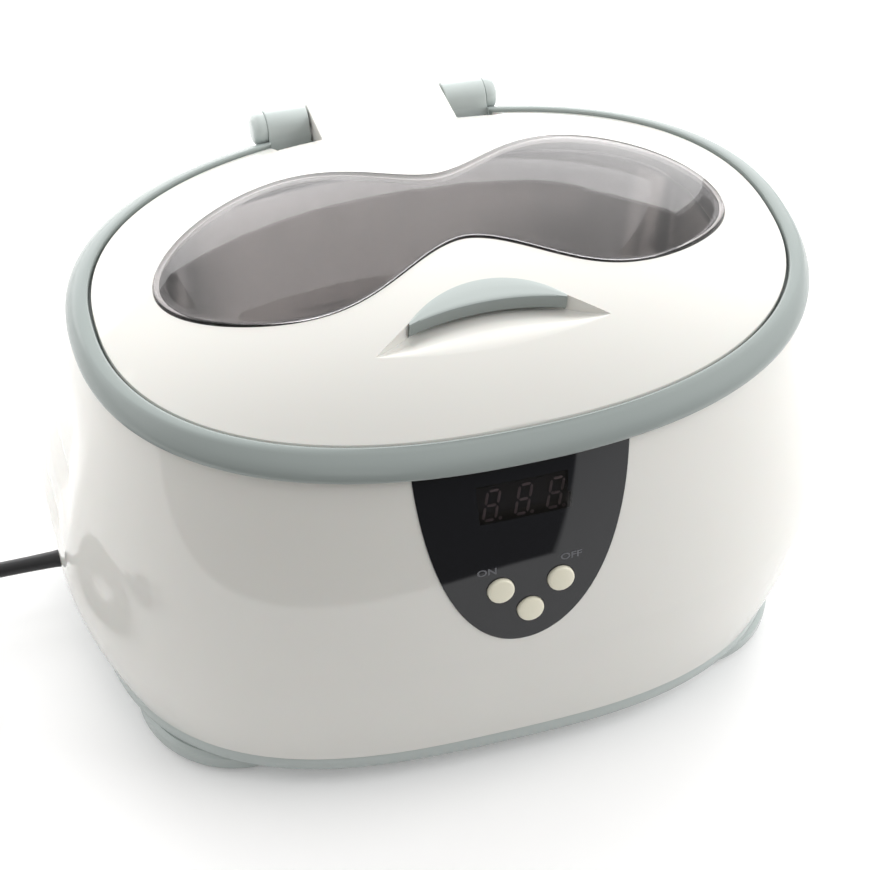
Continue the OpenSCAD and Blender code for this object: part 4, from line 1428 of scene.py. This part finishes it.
    def tray(self) -> bpy.types.Object:
        """Makes the base tray with its four round corner feet.

        Returns:
            The piece.
        """
        a, b = self.form.tray_a, self.form.tray_b
        rows = [oval(a - x, b - y, n, z, 256) for x, y, n, z in (
            (10, 10, 2.7, 4.0), (7.2, 7.2, 2.72, 4.05), (5.5, 5.5, 2.75, 4.3), (3.2, 3.2, 2.78, 5.0),
            (1.5, 1.5, 2.8, 6.0), (0.55, 0.55, 2.81, 7.0), (0.1, 0.1, 2.82, 8.2), (0.1, 0.1, 2.82, 11.6),
            (0.3, 0.3, 2.82, 11.9), (5.4, 2.8, 2.8, 12.0), (6.5, 4.2, 2.8, 6.5))]
        parts = [Shaper.loft("tray", with_poles(rows, (0.0, 0.0, 4.0), (0.0, 0.0, 6.5)))]
        foot = [(0, 1.6), (9.1, 1.6), (9.1, 1.0), (22.6, 1.0), *arc(2.0, range(-90, 1, 10), 23.5, 3.0),
                (25.5, 6.0), (24.5, 7.0), (0, 7.0)]
        x, y = a - self.foot_inset[0], b - self.foot_inset[1]
        for place in ((-x, -y, 0), (-x, y, 0), (x, -y, 0), (x, y, 0)):
            parts.append(Shaper.turn("foot", foot, Matrix.Translation(place), 96))
        piece = Shaper.merge("base_tray_shell", parts)
        Shaper.smooth(piece, 40)
        # The tray takes the lit grey copy: painted light.
        return Workshop.adopt(piece, CABINET, Slot.GREY, [GREY_PAINTED_LIT], ["base_tray"])


# ---------------------------------------------------------------- bath


@dataclass
class Bath:
    """Steel bath with its flange, its seal and the transducer under it."""

    a: float = 72.0
    b: float = 43.0
    depth: float = 52.0

    def build(self) -> None:
        """Makes the bath and dresses what is under it."""
        self.tank()
        Workshop.keep(PAD_RUBBER, "tank_gasket")
        Workshop.keep(ALUMINIUM, "transducer_front", "heat_sink")
        Workshop.keep(TURNED_STEEL, "transducer_back", "transducer_bolt")
        Workshop.keep(CERAMIC, "piezo_rings")
        Workshop.keep(COPPER, "contact_tabs")
        Workshop.keep(BOARD_GREEN, "power_board")
        Workshop.keep(WINDING_TAPE, "transformer")
        Workshop.keep(CAN_SLEEVE, "capacitor")

    def tank(self) -> bpy.types.Object:
        """Makes the deep-drawn bath.

        Returns:
            The piece.
        """
        a, b, top, low = self.a, self.b, FORM.seam_z, FORM.seam_z - self.depth
        outside = [(-12, -10, 2.7, low - 0.8), (-8.6, -7.6, 2.75, low - 0.5), (-6.5, -6, 2.8, low + 0.6),
                   (-4.6, -4.3, 2.85, low + 2.6), (-3.2, -3, 2.9, low + 5), (-2.5, -2.1, 2.9, low + 9),
                   (-2.2, -1.6, 2.9, low + 14), (0.8, 0.8, 2.9, top - 0.6), (1.4, 1.4, 2.9, top + 0.6),
                   (10.9, 9.3, 2.4, top + 0.6)]
        inside = [(10.9, 9.3, 2.4, top + 1.4), (1.5, 1.5, 2.85, top + 1.4), (0.9, 0.9, 2.9, top + 1.25),
                  (0.35, 0.35, 2.9, top + 0.8), (0.05, 0.05, 2.9, top + 0.1), (0, 0, 2.9, top - 0.8),
                  (-3, -2.4, 2.9, low + 14), (-3.35, -2.95, 2.9, low + 9), (-4, -3.8, 2.9, low + 5),
                  (-5.4, -5.1, 2.85, low + 2.6), (-7.2, -6.7, 2.8, low + 1.3), (-9.4, -8.4, 2.75, low + 0.35),
                  (-12, -10, 2.7, low)]
        rows = [oval(a + x, b + y, n, z, 224) for x, y, n, z in outside + inside]
        piece = Shaper.loft("bath_shell", with_poles(rows, (0.0, 0.0, low - 0.8), (0.0, 0.0, low)))
        Shaper.smooth(piece, 50)
        return Workshop.adopt(piece, CABINET, Slot.TANK, [DRAWN_STEEL], ["tank"])


# ---------------------------------------------------------------- lid


@dataclass
class Lid:
    """Crowned lid with its smoked window, its grip and its half of the hinge."""

    form: LidForm = field(default_factory=lambda: LID_FORM)
    wall: float = 2.4
    bore_r: float = 1.58
    notch_width: float = 12.1
    notch_y: Flat = (46.0, 66.0)
    grip_front: float = -29.5
    grip_r: float = 100.0
    pane_gap: float = 0.15
    pane_under: float = -1.18
    pane_top: float = 0.8
    pane_round: float = 0.75

    def build(self) -> None:
        """Makes the lid's three pieces."""
        self.shell()
        self.window()
        self.grip()

    def skirt(self, inset: float, z: float) -> list[Point]:
        """Ring of the lid's skirt, drawn in by an inset at a height."""
        return [(*self.form.edge(t, inset), z) for t in self.form.angles()]

    def band(self, s: float, window_inset: float, edge_inset: float, lift: float, boss: float) -> list[Point]:
        """Ring of the lid between its window and its edge.

        Args:
            s: Share of the way from the window to the edge.
            window_inset: How far the window's outline is drawn in.
            edge_inset: How far the edge is drawn in.
            lift: Height above the crown.
            boss: Share of the thickness under the finger pocket that is taken off.

        Returns:
            The ring.
        """
        return self.form.draped(lambda t: self.form.between(t, s, window_inset, edge_inset), lift, boss)

    def ledge(self, inset: float, share: float, lift: float) -> list[Point]:
        """Ring along the window's outline.

        Args:
            inset: How far it is drawn in.
            share: Scale about the middle.
            lift: Height above the crown.

        Returns:
            The ring.
        """
        return self.form.draped(lambda t: self.form.window(t, inset, share), lift)

    def shell(self) -> bpy.types.Object:
        """Makes the white shell.

        Returns:
            The piece.
        """
        form, z = self.form, self.form.edge_z
        rows = [self.skirt(inset, z - drop) for inset, drop in
                ((0.6, 2.4), (0.15, 2.0), (0, 1.5), (0, 0.5), (0.1, 0.18))]
        shares = (0.985, *(1 - k / 34 for k in range(1, 34)), 0.01, 0.0)
        rows += [self.band(0.994, 0.0, 0.0, -0.02, 0.0), *(self.band(s, 0.0, 0.0, 0.0, 0.0) for s in shares)]
        rows += [self.ledge(inset, 1.0, lift) for inset, lift in ((0.0, -0.25), (0.0, -1.2), (2.0, -1.2))]
        rows += [self.band(s, 2.0, 1.9, -self.wall, 1.0) for s in
                 (0, 0.08, 0.17, 0.25, 0.34, 0.43, 0.52, 0.61, 0.7, 0.78, 0.85, 0.93, 1)]
        rows.append(self.skirt(1.9, z - self.wall))
        piece = Shaper.loft("lid", rows, closed=True)
        Shaper.boolean(piece, self.pocket_tool())
        front, rear = self.notch_y
        for start in (-form.tongue_half - self.notch_width, form.tongue_half):
            end = start + self.notch_width
            notch = [(start, front), (end, front), (end, rear), (start, rear)]
            Shaper.boolean(piece, Shaper.slab("notch", notch, 20, Matrix.Translation((0, 0, z - 5))))
        Shaper.boolean(piece, self.tongue(), "UNION")
        place = turned((-form.tongue_half - 2, form.hinge_y, form.hinge_z), 90)
        Shaper.boolean(piece, Shaper.rod("bore", self.bore_r, 2 * form.tongue_half + 4, place, 32))
        piece.name = "lid_white_shell"
        Shaper.smooth(piece, 26)
        return Workshop.adopt(piece, LID, Slot.WHITE, [WHITE_GLOSS], ["lid_shell"])

    def tongue(self) -> bpy.types.Object:
        """Makes the lid's hinge barrel and the web that carries it.

        Returns:
            The barrel with its web.
        """
        form = self.form
        web = [(-2.0, 4.8), (-14.5, 5.7), (-16.0, 3.0), (-14, 1.5), (-9, -0.5), (-4, -3.2)]
        outline = arc(form.barrel_r, range(-90, 91, 6)) + web
        piece = Shaper.slab("tongue", outline, 2 * form.tongue_half, form.hinge_frame(-form.tongue_half))
        Shaper.round_off(piece, 0.5, 3, 40)
        return piece

    def pocket_tool(self) -> bpy.types.Object:
        """Makes the cutter of the finger pocket.

        Returns:
            The cutter.
        """
        form = self.form
        inner = [form.arc_x * math.sin(math.radians(k)) for k in range(-90, 91, 4)]
        outer = [19.8, 20.8, 22, 23.4, 24.8, 26, 27, 27.8, 28.3, 28.6]
        rows = []
        for x in [-x for x in reversed(outer)] + inner + outer:
            floor = [form.pocket_spot(x, k / 24) for k in range(25)]
            lid_over = [(x, y, form.crown(x, y) + 4) for y in (floor[-1][1], floor[0][1])]
            rows.append(floor + lid_over)
        return Shaper.loft("pocket", capped(rows))

    def window(self) -> bpy.types.Object:
        """Makes the smoked window, slightly proud of the crown with a rounded rim.

        Returns:
            The piece.
        """
        gap, under, top, bend = self.pane_gap, self.pane_under, self.pane_top, self.pane_round
        shares = [0.04, 0.12, 0.22, 0.34, 0.46, 0.58, 0.7, 0.8, 0.88, 0.95]
        rows = [self.ledge(gap, share, under) for share in shares]
        rows += [self.ledge(inset, 1, lift) for inset, lift in
                 ((0.45, under), (0.2, -1.0), (gap, -0.7), (gap, 0.1))]
        for k in (18, 36, 54, 72, 90):
            turn = math.radians(k)
            rows.append(self.ledge(gap + bend * (1 - math.cos(turn)), 1, 0.1 + 0.7 * math.sin(turn)))
        rows += [self.ledge(gap + bend, share, top) for share in shares[::-1]]
        middle = self.form.crown(0, 0)
        poles = [(0.0, 0.0, middle + lift) for lift in (under, top)]
        piece = Shaper.loft("window_pane", with_poles(rows, *poles))
        Shaper.smooth(piece, 60)
        return Workshop.adopt(piece, LID, Slot.WINDOW, [SMOKED_WINDOW], ["lid_window"])

    def grip(self) -> bpy.types.Object:
        """Makes the crescent grip across the rear of the pocket.

        Returns:
            The piece.
        """
        form = self.form
        rows = []
        for k in range(-24, 25):
            x = form.arc_x * math.sin(math.radians(k * 90 / 24)) * 0.995
            front = self.grip_front - self.grip_r + math.sqrt(self.grip_r ** 2 - x * x)
            rear = form.pocket_rear(x) - 0.03
            top = form.crown(x, front) + 0.25
            cuts = [(front + 0.15, top - 3.7), (rear, top - 4.6), (rear, form.crown(x, rear) + 0.1)]
            for share in (0.75, 0.5, 0.35, 0.22, 0.1):
                y = front + (rear - front) * share
                cuts.append((y, form.crown(x, y) + 0.3))
            cuts += [(front + 0.12, top - 0.05), (front, top - 0.35), (front, top - 0.6), (front, top - 3.2)]
            rows.append([(x, y, z) for y, z in cuts])
        piece = Shaper.loft("grip_crescent", capped(rows))
        Shaper.smooth(piece, 40)
        Workshop.adopt(piece, LID, Slot.GREY, [GREY_SATIN, GREY_PAINTED_LIT], ["lid_handle"])
        # Faces that point up take the second, lit grey copy: painted light on the grip's top.
        for face in piece.data.polygons:
            face.material_index = int(face.normal.z > 0.5)
        return piece


# ---------------------------------------------------------------- controls


@dataclass
class Controls:
    """Front panel lens, display, printed words and the three buttons."""

    form: BodyForm = field(default_factory=lambda: FORM)
    button_r: float = 3.3
    button_top: float = 1.5
    button_round: float = 0.6
    button_x: float = 7.55
    group_x: float = 1.0
    button_v: float = -8.5
    set_v: float = -15.9
    word_v: float = -2.55
    word_size: float = 2.5
    word_stretch: float = 1.25
    word_bold: float = 0.05
    word_thick: float = 0.012
    word_proud: float = 0.3
    figure_v: float = 15.0
    figure_lean: float = 0.17
    figure_pitch: float = 7.85
    figure_half: Flat = (1.5, 4.0)
    figure_depth: float = -2.4
    bar_thick: float = 0.25
    point_r: float = 0.42
    point_x: float = 2.75
    clear_middle: Flat = (-0.4, 15.7)
    clear_half: Flat = (11.4, 5.2)

    def build(self) -> None:
        """Makes the lens, the print and the buttons, and dresses what is behind."""
        self.lens()
        for node, (x, v) in self.spots().items():
            self.button(node, x, v)
        self.word("word_on", "ON", self.group_x - 10.9)
        self.word("word_off", "OFF", self.group_x + 10.2)
        self.figures()
        Workshop.keep(BLACK_SATIN, "tact_switches")
        Workshop.keep(DISPLAY_BLACK, "display_module")
        Workshop.keep(BLACK_SATIN, "control_board")

    def leaning(self, points: Sequence[Flat], x: float, y: float) -> list[Flat]:
        """Outline of a bar that leans with its figure.

        Args:
            points: The bar's outline about its own middle.
            x: Place of its middle across the display.
            y: Place of its middle up the figure.

        Returns:
            The outline in the panel's frame.
        """
        return [(x + u + self.figure_lean * (y + w), self.figure_v + y + w) for u, w in points]

    def figures(self) -> bpy.types.Object:
        """Makes the bars of three leaning seven-bar figures with their points.

        Returns:
            The piece.
        """
        flat = [(-1.15, 0.0), (-0.82, -0.31), (0.82, -0.31), (1.15, 0.0), (0.82, 0.31), (-0.82, 0.31)]
        upright = [(w, u * 1.5) for u, w in flat]
        place = self.form.panel_frame() @ Matrix.Translation((0, 0, self.figure_depth))
        wide, high = self.figure_half
        parts = []
        for middle in (-self.figure_pitch, 0.0, self.figure_pitch):
            shapes = [self.leaning(flat, middle, y) for y in (-high, 0.0, high)]
            shapes += [self.leaning(upright, middle + x, y)
                       for x in (-wide, wide) for y in (-high / 2, high / 2)]
            shapes.append(self.leaning(arc(self.point_r, range(0, 360, 30)), middle + self.point_x, -high))
            parts += [Shaper.slab("bar", shape, self.bar_thick, place) for shape in shapes]
        piece = Shaper.merge("figure_bars", parts)
        return Workshop.adopt(piece, CABINET, Slot.FIGURES, [BAR_RED], ["digit_bars"])

    def spots(self) -> dict[str, Flat]:
        """Place of each button's middle in the panel's frame.

        Returns:
            Places by the names of the CAD nodes.
        """
        x = self.group_x
        return {"button_on": (x - self.button_x, self.button_v), "button_set": (x, self.set_v),
                "button_off": (x + self.button_x, self.button_v)}

    def lens(self) -> bpy.types.Object:
        """Makes the lens: glossy black, and clear smoked over the display.

        Returns:
            The piece.
        """
        form = self.form
        piece = Shaper.loft("panel_lens_shell", form.panel_rows(0, 0.25, 1.4, form.seam_z - 0.4))
        for x, v in self.spots().values():
            place = form.panel_frame() @ Matrix.Translation((x, v, -8))
            Shaper.boolean(piece, Shaper.rod("hole", self.button_r + 0.2, 16, place, 64))
        Shaper.smooth(piece, 30)
        Workshop.adopt(piece, CABINET, Slot.PANEL, [SMOKED_LENS, PANEL_BLACK], ["panel_lens"])
        back = form.panel_frame().inverted()
        for face in piece.data.polygons:
            spot = back @ (face.center / MM)
            clear = all(abs(at - middle) < half for at, middle, half in
                        zip(spot, self.clear_middle, self.clear_half))
            face.material_index = 0 if clear else 1
        return piece

    def button(self, node: str, x: float, v: float) -> bpy.types.Object:
        """Makes one button.

        Args:
            node: The CAD node it replaces.
            x: Its place across the panel.
            v: Its place up the panel.

        Returns:
            The piece.
        """
        lift, r, top, bend = self.form.panel_lift(v), self.button_r, self.button_top, self.button_round
        stem, collar = -4.9 - lift, r + 0.9
        profile = [(0, stem), (2, stem), (2, -3.2), (collar, -3.2), (collar, -2.2), (r, -2.2),
                   (r, top - 0.75)]
        profile += arc(bend, range(10, 91, 10), r - bend, top - 0.75)
        profile += [(r * share, top - 0.15 * share * share) for share in (0.7, 0.5, 0.3, 0.15)] + [(0, top)]
        place = self.form.panel_frame() @ Matrix.Translation((x, v, lift))
        piece = Shaper.turn(f"{node}_cap", profile, place, 64)
        Shaper.smooth(piece, 40)
        return Workshop.adopt(piece, BUTTON_BODIES[node], Slot.CREAM, [CREAM_CAPS], [node])

    def word(self, name: str, text: str, x: float) -> bpy.types.Object:
        """Prints a word on the lens.

        Args:
            name: The piece's name.
            text: The word.
            x: Place of its middle across the panel.

        Returns:
            The piece.
        """
        bpy.ops.object.select_all(action="DESELECT")
        bpy.ops.object.text_add()
        piece = bpy.context.active_object
        piece.name = name
        piece.data.body, piece.data.size, piece.data.extrude = text, self.word_size, self.word_thick
        piece.data.offset = self.word_bold
        piece.data.align_x, piece.data.align_y = "CENTER", "CENTER"
        bpy.ops.object.convert(target="MESH")
        tilt = math.radians(self.form.panel_tilt)
        for vertex in piece.data.vertices:
            across, up = vertex.co.x * self.word_stretch + x, vertex.co.y + self.word_v
            z = self.form.panel_mid_z + up * math.cos(tilt)
            y = self.form.front_y(across, z) - self.word_proud - vertex.co.z
            vertex.co = Vector((across, y, z)) * MM
        Shaper.weld(piece)
        return Workshop.adopt(piece, CABINET, Slot.CREAM, [PRINT_GREY])


def main() -> None:
    """Builds the scene in order: camera, lead, studio, then the sub-assemblies."""
    Camera().build()
    MainsLead().build()
    Studio().build()
    for assembly in (Cabinet(), Bath(), Lid(), Controls()):
        LOG.info("-- %s", type(assembly).__name__)
        assembly.build()


if __name__ == "__main__":
    main()
